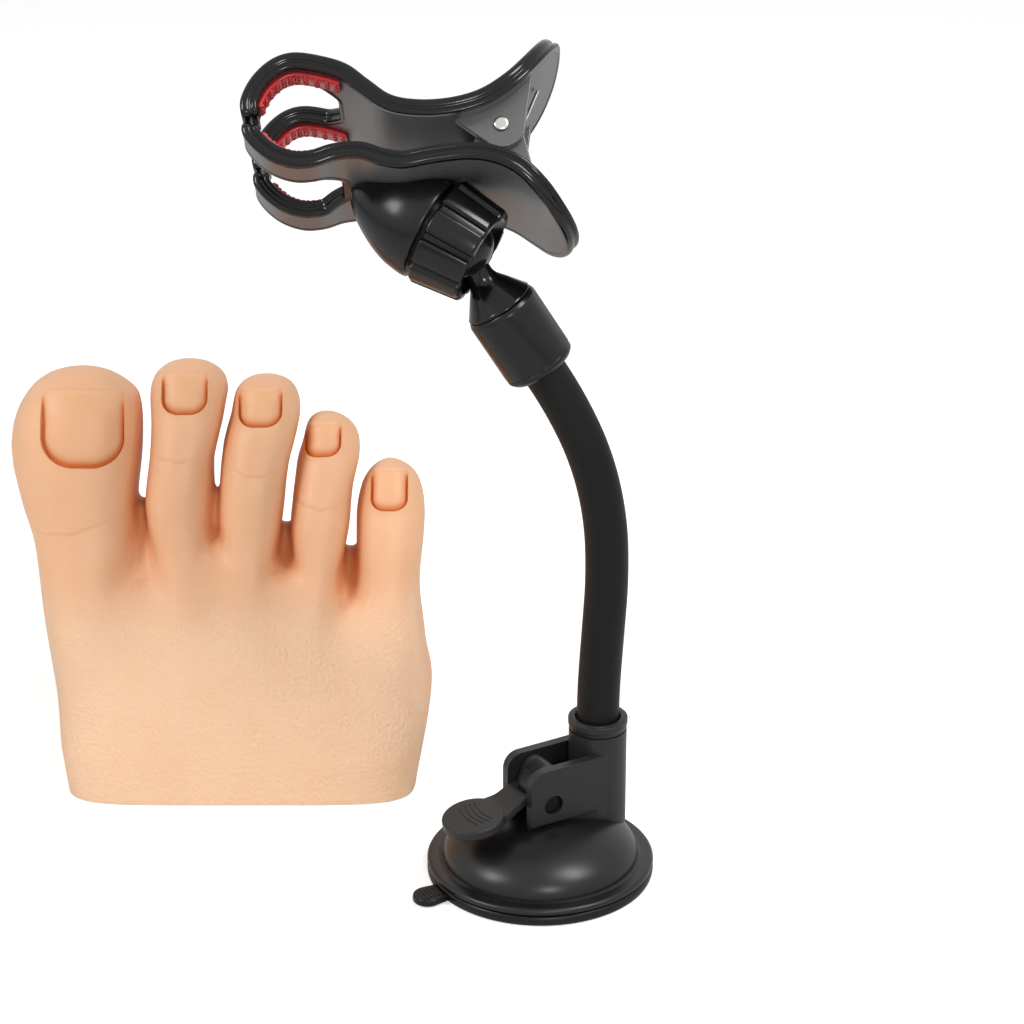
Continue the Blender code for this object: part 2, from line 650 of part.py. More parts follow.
def make_suction_pad(base):
    """Rubber cup with its sealing rim, hollow underside, boss and pull tab."""
    seal_inside = PAD_RADIUS - PAD_SEAL_WIDTH
    under = [(0.0, PAD_LIFT), (seal_inside * 0.45, PAD_LIFT * 0.82),
             (seal_inside * 0.8, PAD_LIFT * 0.3), (seal_inside, 0.0), (PAD_RADIUS - GAP, 0.0)]
    upper = [(PAD_RADIUS, PAD_RIM_HEIGHT / 2), (PAD_RADIUS - GAP, PAD_RIM_HEIGHT),
             (PAD_RADIUS - HOUSING_WALL * 1.8, PAD_RIM_HEIGHT),
             (seal_inside, PAD_WEB), (seal_inside * 0.8, PAD_LIFT * 0.3 + PAD_WEB),
             (seal_inside * 0.45, PAD_LIFT * 0.82 + PAD_WEB), (PAD_BOSS_RADIUS, PAD_LIFT + PAD_WEB),
             (PAD_BOSS_RADIUS, PAD_BOSS_TOP), (0.0, PAD_BOSS_TOP)]
    pad = piece("suction_pad", turned("suction_pad", under + upper, 32), "rubber_black", base)
    end = TAB_REACH - TAB_WIDTH / 2
    start = PAD_RADIUS - OVERRUN
    outline = [(start, -TAB_WIDTH / 2)] + arc((end, 0), TAB_WIDTH / 2, -90, 90, 6)
    outline += [(start, TAB_WIDTH / 2)]
    tab = tool("pull_tab", prism("pull_tab", outline, GAP, GAP + TAB_THICKNESS), base)
    combine(pad, tab, "UNION")
    for index in range(3):
        rib = prism("tab_rib", [(0, -TAB_WIDTH / 3), (GROOVE_WIDTH, -TAB_WIDTH / 3),
                                (GROOVE_WIDTH, TAB_WIDTH / 3), (0, TAB_WIDTH / 3)],
                    TAB_THICKNESS, TAB_THICKNESS + 2 * GAP)
        place = (end - GROOVE_WIDTH - GROOVE_PITCH * (index - 1), 0, 0)
        combine(pad, tool("tab_rib_%d" % (index + 1), rib, base, place), "UNION")
    return pad


def cheek_outline():
    """Side view of a cheek, from the post to its rounded front corner."""
    corner = (CHEEK_REACH - CHEEK_CORNER, CHEEK_TOP - CHEEK_CORNER)
    outline = [(-POST_OFFSET, DOME_RISE), (CHEEK_REACH, DOME_RISE)]
    outline += arc(corner, CHEEK_CORNER, 0, 90, 5)
    outline += [(-POST_OFFSET, CHEEK_TOP)]
    return outline


def make_base_housing(base, side):
    """One moulding: rim ring, dome, gooseneck post and the lever's two cheeks."""
    low = PAD_RIM_HEIGHT + GAP
    ring = [(0.0, low), (PAD_RADIUS - GAP, low), (PAD_RADIUS, low + RIM_RING_THICKNESS / 2),
            (PAD_RADIUS - GAP, low + RIM_RING_THICKNESS)]
    housing = piece("base_housing", turned("base_housing", ring + dome_profile(0.0, 7), 36),
                    "satin_black", base)
    post = [(0.0, DOME_RISE / 2), (POST_RADIUS, DOME_RISE / 2), (POST_RADIUS, POST_TOP), (0.0, POST_TOP)]
    combine(housing, tool("post", turned("post", post, 24), base, (-POST_OFFSET, 0, 0)), "UNION")
    outer = CHEEK_SPREAD / 2
    for sign, name in ((1, "near_cheek"), (-1, "far_cheek")):
        limits = sorted((sign * outer, sign * (outer - CHEEK_THICKNESS)))
        combine(housing, tool(name, prism(name, cheek_outline(), *limits), side), "UNION")
    mouth = DOME_RADIUS + GAP * 3
    cavity = [(0.0, low - OVERRUN), (mouth, low - OVERRUN), (mouth, low + GAP * 3)]
    cavity += dome_profile(HOUSING_WALL, 4)
    combine(housing, tool("dome_hollow", turned("dome_hollow", cavity, 26), base), "DIFFERENCE")
    hole = [(0.0, DOME_RISE / 2), (ROD_HOLE_RADIUS, DOME_RISE / 2),
            (ROD_HOLE_RADIUS, AXLE_Z - GAP), (0.0, AXLE_Z - GAP)]
    combine(housing, tool("rod_hole", turned("rod_hole", hole, 15), base), "DIFFERENCE")
    bore = [(0.0, POST_TOP - POST_BORE_DEPTH), (SLEEVE_RADIUS + GAP, POST_TOP - POST_BORE_DEPTH),
            (SLEEVE_RADIUS + GAP, POST_TOP + OVERRUN), (0.0, POST_TOP + OVERRUN)]
    bore_tool = tool("post_bore", turned("post_bore", bore, 22), base, (-POST_OFFSET, 0, 0))
    combine(housing, bore_tool, "DIFFERENCE")
    span = CHEEK_SPREAD / 2
    pocket = [(0.0, -span - OVERRUN), (AXLE_HOLE_RADIUS, -span - OVERRUN),
              (AXLE_HOLE_RADIUS, span + OVERRUN), (0.0, span + OVERRUN)]
    hole_tool = tool("axle_hole", turned("axle_hole", pocket, 18), side, (AXLE_X, AXLE_Z, 0))
    combine(housing, hole_tool, "DIFFERENCE")
    return housing


def make_post_collar(base):
    """Ring that clamps the sleeve's lower end at the top of the post."""
    low = POST_TOP + GAP
    high = low + COLLAR_HEIGHT
    inside = SLEEVE_RADIUS + GAP
    profile = [(inside, low), (COLLAR_RADIUS - GAP, low), (COLLAR_RADIUS, low + GAP),
               (COLLAR_RADIUS, high - 2 * GAP), (COLLAR_RADIUS - 2 * GAP, high), (inside, high)]
    return piece("post_collar", turned("post_collar", profile, 28, closed=True), "satin_black",
                 base, (-POST_OFFSET, 0, 0))


def make_lever_pin(side):
    """Axle of the lever: stepped, so that its ends fill the holes in the cheeks."""
    end = CHEEK_SPREAD / 2 - PIN_RECESS
    shoulder = CHEEK_SPREAD / 2 - CHEEK_THICKNESS + GAP
    head = AXLE_HOLE_RADIUS - GAP
    profile = [(0.0, -end), (head, -end), (head, -shoulder), (PIN_RADIUS, -shoulder),
               (PIN_RADIUS, shoulder), (head, shoulder), (head, end), (0.0, end)]
    return piece("lever_pin", turned("lever_pin", profile, 16), "steel", side, (AXLE_X, AXLE_Z, 0))


def make_lever(side):
    """Lever with a forked hub, an eccentric between its discs and a grooved thumb disc."""
    hinge = frame("lever_hinge", (AXLE_X, AXLE_Z, 0), parent=side)
    half = LEVER_WIDTH / 2
    reach = THUMB_X - AXLE_X
    knots = [(x * reach, z * LEVER_RISE) for x, z in LEVER_ARM_SHARES]
    line = Line(knots, 6)
    upper = []
    lower = []
    steps = 14
    for step in range(steps + 1):
        point, way = line.at(line.length * step / steps)
        normal = Vector((-way.y, way.x)) * LEVER_THICKNESS / 2
        upper.append(tuple(point + normal))
        lower.append(tuple(point - normal))
    arm = prism("lever", upper + list(reversed(lower)), -half, half)
    lever = piece("lever", arm, "satin_black", hinge)
    neck = knots[1]
    for sign, name in ((1, "near_disc"), (-1, "far_disc")):
        limits = sorted((sign * half, sign * HUB_GAP / 2))
        disc = circle((0, 0), HUB_RADIUS, 20)
        combine(lever, tool(name, prism(name, disc, *limits), hinge), "UNION")
        web = [(-HUB_RADIUS * 0.55, HUB_RADIUS * 0.6), (HUB_RADIUS * 0.8, HUB_RADIUS * 0.2),
               (neck[0] + LEVER_THICKNESS * 1.9, neck[1] - LEVER_THICKNESS / 5),
               (neck[0] - LEVER_THICKNESS * 0.2, neck[1] - LEVER_THICKNESS / 5)]
        combine(lever, tool(name + "_web", prism(name + "_web", web, *limits), hinge), "UNION")
    cam_place = (CAM_THROW * math.cos(CAM_REST_ANGLE), CAM_THROW * math.sin(CAM_REST_ANGLE))
    cam = prism("cam", circle(cam_place, CAM_RADIUS, 20), -HUB_GAP / 2 - GAP, HUB_GAP / 2 + GAP)
    combine(lever, tool("cam", cam, hinge), "UNION")
    thumb = [(0.0, -THUMB_THICKNESS), (THUMB_RADIUS - 2 * GAP, -THUMB_THICKNESS),
             (THUMB_RADIUS, -THUMB_THICKNESS + 2 * GAP), (THUMB_RADIUS, -2 * GAP),
             (THUMB_RADIUS - 2 * GAP, 0.0), (0.0, 0.0)]
    upright = Matrix.Rotation(-math.pi / 2, 4, "X")
    tilt = Matrix.Rotation(-THUMB_TILT, 4, "Z")
    place = (THUMB_X - AXLE_X, THUMB_Z - AXLE_Z + THUMB_THICKNESS / 2, 0)
    disc_frame = frame("thumb_frame", place, tilt @ upright, hinge)
    combine(lever, tool("thumb_disc", turned("thumb_disc", thumb, 24), disc_frame), "UNION")
    for index in range(THUMB_GROOVES):
        bow = THUMB_RADIUS
        outer = arc((GROOVE_PITCH * (index - 1) - bow, 0), bow + GROOVE_WIDTH / 2, -32, 32, 6)
        inner = arc((GROOVE_PITCH * (index - 1) - bow, 0), bow - GROOVE_WIDTH / 2, 32, -32, 6)
        groove = prism("thumb_groove", outer + inner, -GAP, OVERRUN)
        combine(lever, tool("thumb_groove_%d" % (index + 1), groove, disc_frame), "DIFFERENCE")
    bore = PIN_RADIUS + GAP
    hole = [(0.0, -LEVER_WIDTH), (bore, -LEVER_WIDTH), (bore, LEVER_WIDTH), (0.0, LEVER_WIDTH)]
    combine(lever, tool("lever_bore", turned("lever_bore", hole, 16), hinge), "DIFFERENCE")
    return lever


def make_pull_rod(side, base):
    """Rod from the pad's boss up to an eye that the lever's eccentric lifts and lowers."""
    inner = CAM_RADIUS + GAP
    outer = inner + EYE_WALL
    middle = AXLE_Z + CAM_THROW * math.sin(CAM_REST_ANGLE)
    across = AXLE_X - CAM_THROW * (1 - math.cos(CAM_REST_ANGLE)) / 2
    half = HUB_GAP / 2 - GAP
    foot = PAD_BOSS_TOP + GAP
    top = middle - inner * 0.7
    profile = [(0.0, foot), (ROD_FOOT_RADIUS, foot), (ROD_FOOT_RADIUS, foot + ROD_FOOT_HEIGHT),
               (ROD_RADIUS, foot + ROD_FOOT_HEIGHT), (ROD_RADIUS, top), (0.0, top)]
    rod = piece("pull_rod", turned("pull_rod", profile, 16), "white_nylon", base)
    ring = circle((across, middle), outer, 24)
    combine(rod, tool("rod_eye", prism("rod_eye", ring, -half, half), side), "UNION")
    window = circle((across, middle), inner, 23)
    combine(rod, tool("eye_bore", prism("eye_bore", window, -2 * half, 2 * half), side), "DIFFERENCE")
    return rod


# Gooseneck


def hinge_places():
    """Where the six hinges and the ball lie in the arm's plane, from the post's axis."""
    x = 0.0
    z = FIRST_HINGE_Z
    places = [(x, z)]
    for heading in ARM_HEADINGS[1:6]:
        x += LINK_LENGTH * math.sin(math.radians(heading))
        z += LINK_LENGTH * math.cos(math.radians(heading))
        places.append((x, z))
    last = math.radians(ARM_HEADINGS[6])
    places.append((x + LAST_LINK_LENGTH * math.sin(last), z + LAST_LINK_LENGTH * math.cos(last)))
    return places


def turn_by(heading):
    """The rotation of a link that leans by a heading towards +X."""
    return Matrix.Rotation(math.radians(heading), 4, "Y")


def core_profile(start, end, cone_start, cone_end):
    """Outline of a core link: a bar whose hinged ends are shallow cones."""
    drop = CORE_RADIUS * math.tan(CORE_END_ANGLE)
    profile = [(0.0, start), (CORE_RADIUS, start + (drop if cone_start else 0.0))]
    profile += [(CORE_RADIUS, end - (drop if cone_end else 0.0)), (0.0, end)]
    return profile


def make_core(arm):
    """The steel core: a root in the post, five links and an end in the ferrule."""
    places = hinge_places()
    root = core_profile(POST_TOP - POST_BORE_DEPTH + GAP, FIRST_HINGE_Z - GAP, False, True)
    piece("core_root", turned("core_root", root, 12), "steel", arm)
    for index in range(5):
        x, z = places[index]
        profile = core_profile(GAP, LINK_LENGTH - GAP, True, True)
        name = "core_link_%d" % (index + 1)
        piece(name, turned(name, profile, 12), "steel", arm, (x, 0, z), turn_by(ARM_HEADINGS[index + 1]))
    x, z = places[5]
    end = LAST_LINK_LENGTH - SHOULDER - GAP - SPIGOT_LENGTH - GAP
    piece("core_end", turned("core_end", core_profile(GAP, end, True, False), 12), "steel", arm,
          (x, 0, z), turn_by(ARM_HEADINGS[6]))


def sleeve_path():
    """Middle line of the sleeve: an arc at each hinge that runs along the links between."""
    places = [Vector(place) for place in hinge_places()]
    start = Vector((0.0, POST_TOP - POST_BORE_DEPTH + GAP))
    last = math.radians(ARM_HEADINGS[6])
    end = places[5] + SLEEVE_END * Vector((math.sin(last), math.cos(last)))
    middles = [places[0] - Vector((0.0, LINK_LENGTH / 2))]
    middles += [(places[index] + places[index + 1]) / 2 for index in range(5)]
    middles += [places[5] + LINK_LENGTH / 2 * Vector((math.sin(last), math.cos(last)))]
    path = [start]
    for index in range(6):
        for step in range(4):
            share = step / 4
            first = middles[index].lerp(places[index], share)
            second = places[index].lerp(middles[index + 1], share)
            path.append(first.lerp(second, share))
    path += [middles[6], end]
    return path


def make_sleeve(arm):
    """The plastic sleeve: a tube swept along the arm, open at both ends."""
    path = sleeve_path()
    sides = 12
    points = []
    for index, point in enumerate(path):
        before = path[max(index - 1, 0)]
        after = path[min(index + 1, len(path) - 1)]
        way = (after - before).normalized()
        for radius in (SLEEVE_RADIUS, SLEEVE_BORE):
            for step in range(sides):
                angle = 2 * math.pi * step / sides
                out = radius * math.cos(angle)
                points.append((point.x + out * way.y, radius * math.sin(angle), point.y - out * way.x))
    faces = []
    for index in range(len(path) - 1):
        for wall in (0, sides):
            low = index * 2 * sides + wall
            high = low + 2 * sides
            for step in range(sides):
                after = (step + 1) % sides
                faces.append([low + step, low + after, high + after, high + step])
    for low in (0, (len(path) - 1) * 2 * sides):
        for step in range(sides):
            after = (step + 1) % sides
            faces.append([low + step, low + after, low + sides + after, low + sides + step])
    return piece("gooseneck_sleeve", mesh_from("gooseneck_sleeve", points, faces), "sleeve_black", arm)


def make_ferrule(ball):
    """Cap over the sleeve's upper end, bored for the sleeve and for the stud's spigot."""
    top = SHOULDER + GAP
    bottom = top + FERRULE_LENGTH
    sleeve_stop = LAST_LINK_LENGTH - SLEEVE_END - GAP
    web = top + SPIGOT_LENGTH
    profile = [(SPIGOT_RADIUS + GAP, top), (FERRULE_RADIUS - FERRULE_CHAMFER / 2, top),
               (FERRULE_RADIUS, top + FERRULE_CHAMFER), (FERRULE_RADIUS, bottom - FERRULE_CHAMFER),
               (FERRULE_RADIUS - FERRULE_CHAMFER, bottom), (SLEEVE_RADIUS + GAP, bottom),
               (SLEEVE_RADIUS + GAP, sleeve_stop), (CORE_RADIUS + GAP, sleeve_stop),
               (CORE_RADIUS + GAP, web + GAP), (SPIGOT_RADIUS + GAP, web + GAP)]
    return piece("ferrule", turned("ferrule", profile, 24, closed=True), "satin_black", ball)


def make_ball_stud(ball):
    """Ball, waisted neck and cone in one moulding, with a spigot into the ferrule."""
    leave = math.degrees(math.asin(NECK_RADIUS / BALL_RADIUS))
    profile = [(0.0, -BALL_RADIUS)]
    for step in range(1, 9):
        angle = math.radians(180 - (180 - leave) * step / 8)
        profile.append((BALL_RADIUS * math.sin(angle), BALL_RADIUS * math.cos(angle)))
    waist = (SHOULDER + BALL_RADIUS) / 2
    cone = SHOULDER - waist
    wide = FERRULE_RADIUS - FERRULE_CHAMFER / 2
    profile += [(NECK_RADIUS, waist - cone * 0.45), (NECK_RADIUS * 1.08, waist - cone * 0.15),
                (NECK_RADIUS * 1.5, waist + cone * 0.12), (NECK_RADIUS * 2.1, waist + cone * 0.5),
                (wide - GAP, SHOULDER - GAP), (wide, SHOULDER), (SPIGOT_RADIUS, SHOULDER),
                (SPIGOT_RADIUS, SHOULDER + SPIGOT_LENGTH), (0.0, SHOULDER + SPIGOT_LENGTH)]
    return piece("ball_stud", turned("ball_stud", profile, 22), "gloss_black", ball)


# Ball socket


def sphere_arc(radius, start, end, steps):
    """(radius, height) points on a sphere between two heights."""
    first = math.acos(start / radius)
    last = math.acos(end / radius)
    angles = [first + (last - first) * step / steps for step in range(steps + 1)]
    return [(radius * math.sin(angle), radius * math.cos(angle)) for angle in angles]


def make_ball_seat(socket):
    """Thin cup behind the ball."""
    inner = BALL_RADIUS + BALL_CLEARANCE
    outer = inner + SEAT_THICKNESS
    profile = sphere_arc(inner, -inner, -SEAT_MOUTH, 5)
    profile += list(reversed(sphere_arc(outer, -outer, -SEAT_MOUTH, 5)))
    return piece("ball_seat", turned("ball_seat", profile, 16), "white_nylon", socket)


def shell_line(shares):
    """The rim's outer line of a shell in the clip's frame."""
    return Line([(u * JAW_REACH, v * JAW_REACH) for u, v in shares])


def make_socket_housing(socket, clip):
    """Bell that carries the ball's seat and the nut's thread, cut to fit the lower shell."""
    length = BELL_ROOT - BELL_END
    outside = [(share * BELL_RADIUS, -BELL_END - place * length) for place, share in BELL_SHARES]
    cup = BALL_RADIUS + BALL_CLEARANCE + SEAT_THICKNESS + GAP
    bore = BALL_RADIUS + BALL_CLEARANCE + GAP
    bore_start = -math.sqrt(cup * cup - bore * bore)
    profile = sphere_arc(cup, -cup, bore_start, 5)
    profile += [(bore, THREAD_REACH), (THREAD_RADIUS - GAP, THREAD_REACH),
                (THREAD_RADIUS, THREAD_REACH - GAP), (THREAD_RADIUS, -BELL_END)]
    profile += outside + [(0.0, -BELL_ROOT)]
    bell = piece("socket_housing", turned("socket_housing", profile, 30), "satin_black", socket)
    line = shell_line(LOWER_LINE_SHARES)
    count = 26
    edge = []
    rim_end = line.length_at_x(-WINDOW_REACH) + RIM_WIDTH + 3 * RIM_STEP
    for step in range(count + 1):
        length = line.length * (0.25 + 0.6 * step / count)
        point, way = line.at(length)
        sink = 0.0 if length < rim_end else (SHELL_RIM - SHELL_PLATE) / 2
        edge.append(tuple(point + Vector((way.y, -way.x)) * (GAP - sink)))
    roof = edge + [(edge[-1][0], BELL_ROOT), (edge[0][0], BELL_ROOT)]
    shell_side = tool("shell_side", prism("shell_side", roof, -CLIP_WIDTH, CLIP_WIDTH), clip)
    combine(bell, shell_side, "DIFFERENCE")
    return bell


def make_ring_nut(socket):
    """Grip nut that clamps the ball: tapered, with broad grips and a ball-hugging lip."""
    grips = []
    for grip in range(NUT_GRIPS):
        start = 360 / NUT_GRIPS * grip
        for turn, high in ((0, 0), (3, 1), (12, 1), (24, 1), (27, 0)):
            grips.append((math.radians(start + turn), high))
    clearance = BALL_RADIUS + BALL_CLEARANCE
    bore = THREAD_RADIUS + GAP
    step = THREAD_REACH + GAP
    taper = (NUT_BACK_RADIUS - NUT_FRONT_RADIUS) / (NUT_BACK + NUT_FRONT)
    stations = [(NUT_BACK_RADIUS - 2 * GAP, -NUT_BACK, True),
                (NUT_BACK_RADIUS - taper * 2 * GAP, -NUT_BACK + 2 * GAP, True),
                (NUT_FRONT_RADIUS + taper * 2 * GAP, NUT_FRONT - 2 * GAP, True),
                (NUT_FRONT_RADIUS - 2 * GAP, NUT_FRONT, True), (NUT_MOUTH_RADIUS, NUT_FRONT, False)]
    stations += [(*place, False) for place in sphere_arc(clearance, NUT_LIP, step, 3)]
    stations += [(bore, step, False), (bore, -NUT_BACK, False)]
    points = []
    for radius, height, gripped in stations:
        for angle, high in grips:
            here = radius - (0.0 if high or not gripped else NUT_GROOVE_DEPTH)
            points.append((here * math.cos(angle), here * math.sin(angle), height))
    count = len(grips)
    faces = []
    for index in range(len(stations)):
        low = index * count
        high = (index + 1) % len(stations) * count
        for place in range(count):
            after = (place + 1) % count
            faces.append([low + place, low + after, high + after, high + place])
    return piece("ring_nut", mesh_from("ring_nut", points, faces), "gloss_black", socket)


# Clip


def shell_columns():
    """Places across a shell: outer rim, plate, and the rim along the window."""
    half = CLIP_WIDTH / 2
    window = WINDOW_WIDTH / 2
    right = [WINDOW_END / 2, window, window + RIM_WIDTH, window + RIM_WIDTH + RIM_STEP,
             half - RIM_WIDTH - RIM_STEP, half - RIM_WIDTH, half]
    return [-place for place in reversed(right)] + [0.0] + right


def shell_rows(line):
    """Lengths along a shell, and which row is the window's end."""
    window_end = line.length_at_x(-WINDOW_REACH)
    jaw_end = window_end - WINDOW_CHAMFER
    rows = [0.0, RIM_WIDTH]
    start = RIM_WIDTH + RIM_STEP
    jaw_steps = 8
    rows += [start + (jaw_end - RIM_WIDTH - start) * step / jaw_steps for step in range(jaw_steps + 1)]
    window_row = len(rows)
    rows += [window_end, window_end + RIM_WIDTH, window_end + RIM_WIDTH + RIM_STEP]
    begin = window_end + RIM_WIDTH + RIM_STEP
    stop = line.length - RIM_WIDTH - RIM_STEP
    steps = 13
    rows += [begin + (stop - begin) * step / steps for step in range(1, steps + 1)]
    rows += [line.length - RIM_WIDTH, line.length]
    return rows, window_row


def half_width(line, length):
    """Half the width of a shell at a length: full, then rounded off at the paddle."""
    full = CLIP_WIDTH / 2
    tip = PADDLE_TIP_WIDTH / 2
    into = length - (line.length - PADDLE_ROUND)
    if into <= 0:
        return full
    return tip + (full - tip) * math.sqrt(max(0.0, 1 - (into / PADDLE_ROUND) ** 2))


def shell_mesh(name, line, side):
    """A shell: a bent plate with a raised rim all round, forked into two jaws.

    side is 1 for the upper shell, whose inside is below, and -1 for the lower one.
    """
    columns = shell_columns()
    rows, window_row = shell_rows(line)
    window = WINDOW_WIDTH / 2
    points = []
    for index, row in enumerate(rows):
        for place in columns:
            length = row
            inside = abs(place) <= window + RIM_WIDTH + RIM_STEP
            if window_row <= index <= window_row + 2 and inside:
                beyond = min(max(abs(place) - WINDOW_END / 2, 0.0), window - WINDOW_END / 2)
                length -= WINDOW_CHAMFER * beyond / (window - WINDOW_END / 2)
            elif window_row <= index <= window_row + 2:
                length -= WINDOW_CHAMFER
            width = half_width(line, length)
            half = CLIP_WIDTH / 2
            shrink = width / half
            rim_edge = half - RIM_WIDTH - RIM_STEP / 2
            if abs(place) > half - RIM_WIDTH - RIM_STEP - GAP:
                across = math.copysign(width - (half - abs(place)), place)
            else:
                across = place * shrink
            jaw = index <= window_row + 1 and abs(place) <= window + RIM_WIDTH
            edge = abs(place) > rim_edge or index <= 1 or index >= len(rows) - 2
            raised = jaw or edge
            point, way = line.at(length)
            inward = Vector((way.y, -way.x)) * side
            sink = 0.0 if raised else (SHELL_RIM - SHELL_PLATE) / 2
            outer = point + inward * sink
            inner = point + inward * (SHELL_RIM - sink)
            points.append((outer.x, outer.y, across))
            points.append((inner.x, inner.y, across))
    count = len(columns)

    def kept(row, column):
        """Whether the cell past a row and a column is material."""
        if not (0 <= row < len(rows) - 1 and 0 <= column < count - 1):
            return False
        middle = (columns[column] + columns[column + 1]) / 2
        return row >= window_row or abs(middle) > window

    def at(row, column, layer):
        """Index of a point on the outer or the inner face."""
        return 2 * (row * count + column) + layer

    faces = []
    for row in range(len(rows) - 1):
        for column in range(count - 1):
            if not kept(row, column):
                continue
            for layer in (0, 1):
                faces.append([at(row, column, layer), at(row, column + 1, layer),
                              at(row + 1, column + 1, layer), at(row + 1, column, layer)])
            sides = (((row - 1, column), (row, column), (row, column + 1)),
                     ((row + 1, column), (row + 1, column), (row + 1, column + 1)),
                     ((row, column - 1), (row, column), (row + 1, column)),
                     ((row, column + 1), (row, column + 1), (row + 1, column + 1)))
            for neighbour, start, end in sides:
                if not kept(*neighbour):
                    faces.append([at(*start, 0), at(*end, 0), at(*end, 1), at(*start, 1)])
    mesh = mesh_from(name, points, faces)
    edit = bmesh.new()
    edit.from_mesh(mesh)
    loose = [vert for vert in edit.verts if not vert.link_faces]
    bmesh.ops.delete(edit, geom=loose, context="VERTS")
    edit.to_mesh(mesh)
    edit.free()
    mesh.shade_smooth()
    mesh.set_sharp_from_angle(angle=math.radians(32))
    return mesh


def ear_outline(line, side, span, radius):
    """Side view of an ear: rooted in the plate, rounded about the pin."""
    middle = SHELL_RIM / 2
    root = []
    steps = 6
    first, last = (line.length_at_x(share * JAW_REACH) for share in span)
    for step in range(steps + 1):
        point, way = line.at(last + (first - last) * step / steps)
        root.append(tuple(point + Vector((way.y, -way.x)) * side * middle))
    if side > 0:
        return root + arc((0, 0), radius, -120, 0, 7)
    return root + arc((0, 0), radius, 150, 10, 7)


def make_shells(clip, socket):
    """Both shells with their ears, bored for the pin; the lower one is notched for the nut."""
    hole = [(0.0, -CLIP_WIDTH), (HINGE_PIN_RADIUS + GAP, -CLIP_WIDTH),
            (HINGE_PIN_RADIUS + GAP, CLIP_WIDTH), (0.0, CLIP_WIDTH)]
    bore = tool("hinge_bore", turned("hinge_bore", hole, 18), clip)
    outside = UPPER_EAR_OUTSIDE
    inner = outside - EAR_THICKNESS - GAP
    kinds = (("upper_shell", UPPER_LINE_SHARES, 1, outside, UPPER_EAR_SPAN_SHARES, EAR_RADIUS),
             ("lower_shell", LOWER_LINE_SHARES, -1, inner, LOWER_EAR_SPAN_SHARES, INNER_EAR_RADIUS))
    shells = []
    for name, shares, side, outer, span, radius in kinds:
        line = shell_line(shares)
        shell = piece(name, shell_mesh(name, line, side), "satin_black", clip)
        outline = ear_outline(line, side, span, radius)
        for sign, ear in ((1, name + "_near_ear"), (-1, name + "_far_ear")):
            limits = sorted((sign * outer, sign * (outer - EAR_THICKNESS)))
            combine(shell, tool(ear, prism(ear, outline, *limits), clip), "UNION")
        combine(shell, bore, "DIFFERENCE")
        shells.append(shell)
    low = -NUT_BACK - NOTCH_CLEARANCE
    high = NUT_FRONT + NOTCH_CLEARANCE
    radius = NUT_BACK_RADIUS + NOTCH_CLEARANCE
    notch = [(0.0, low), (radius, low), (radius, high), (0.0, high)]
    combine(shells[1], tool("nut_notch", turned("nut_notch", notch, 28), socket), "DIFFERENCE")
    return shells


def make_hinge_pin(clip):
    """Steel pin through the four ears, headed at both ends."""
    end = UPPER_EAR_OUTSIDE + GAP
    head = end + 2 * GAP
    half = [(HINGE_PIN_RADIUS, end), (HINGE_PIN_HEAD, end), (HINGE_PIN_HEAD - GAP, head), (0.0, head)]
    profile = [(radius, -height) for radius, height in reversed(half)] + half
    return piece("hinge_pin", turned("hinge_pin", profile, 16), "steel", clip)


def make_grips(clip):
    """Four red rubber grips that line the jaws inside their rims."""
    half = CLIP_WIDTH / 2
    low = WINDOW_WIDTH / 2 + RIM_WIDTH + RIM_STEP + GAP
    high = half - RIM_WIDTH - RIM_STEP - GAP
    depth = SHELL_RIM / 2 + SHELL_PLATE / 2 + GAP
    steps = 14
    for level, shares, side in (("upper", UPPER_LINE_SHARES, 1), ("lower", LOWER_LINE_SHARES, -1)):
        line = shell_line(shares)
        back = []
        front = []
        for step in range(steps + 1):
            point, way = line.at(GRIP_START + (GRIP_END - GRIP_START) * step / steps)
            inward = Vector((way.y, -way.x)) * side
            back.append(tuple(point + inward * depth))
            front.append(tuple(point + inward * (depth + GRIP_THICKNESS)))
        outline = back + list(reversed(front))
        for sign, place in ((1, "near"), (-1, "far")):
            limits = sorted((sign * low, sign * high))
            name = "grip_%s_%s" % (level, place)
            piece(name, prism(name, outline, *limits), "grip_red", clip)


def least_self_gap(route, apart):
    """Least clear distance between stretches of a wire that lie apart along it."""
    least = math.inf
    places = [Vector(point) for point in route]
    for index in range(len(places) - 1):
        for other in range(index + apart, len(places) - 1):
            start, end = places[index], places[index + 1]
            for share in (0.0, 0.5):
                point = start.lerp(end, share)
                low, high = places[other], places[other + 1]
                way = high - low
                part = min(max((point - low).dot(way) / way.length_squared, 0.0), 1.0)
                least = min(least, (point - low - way * part).length)
    return least - 2 * WIRE_RADIUS


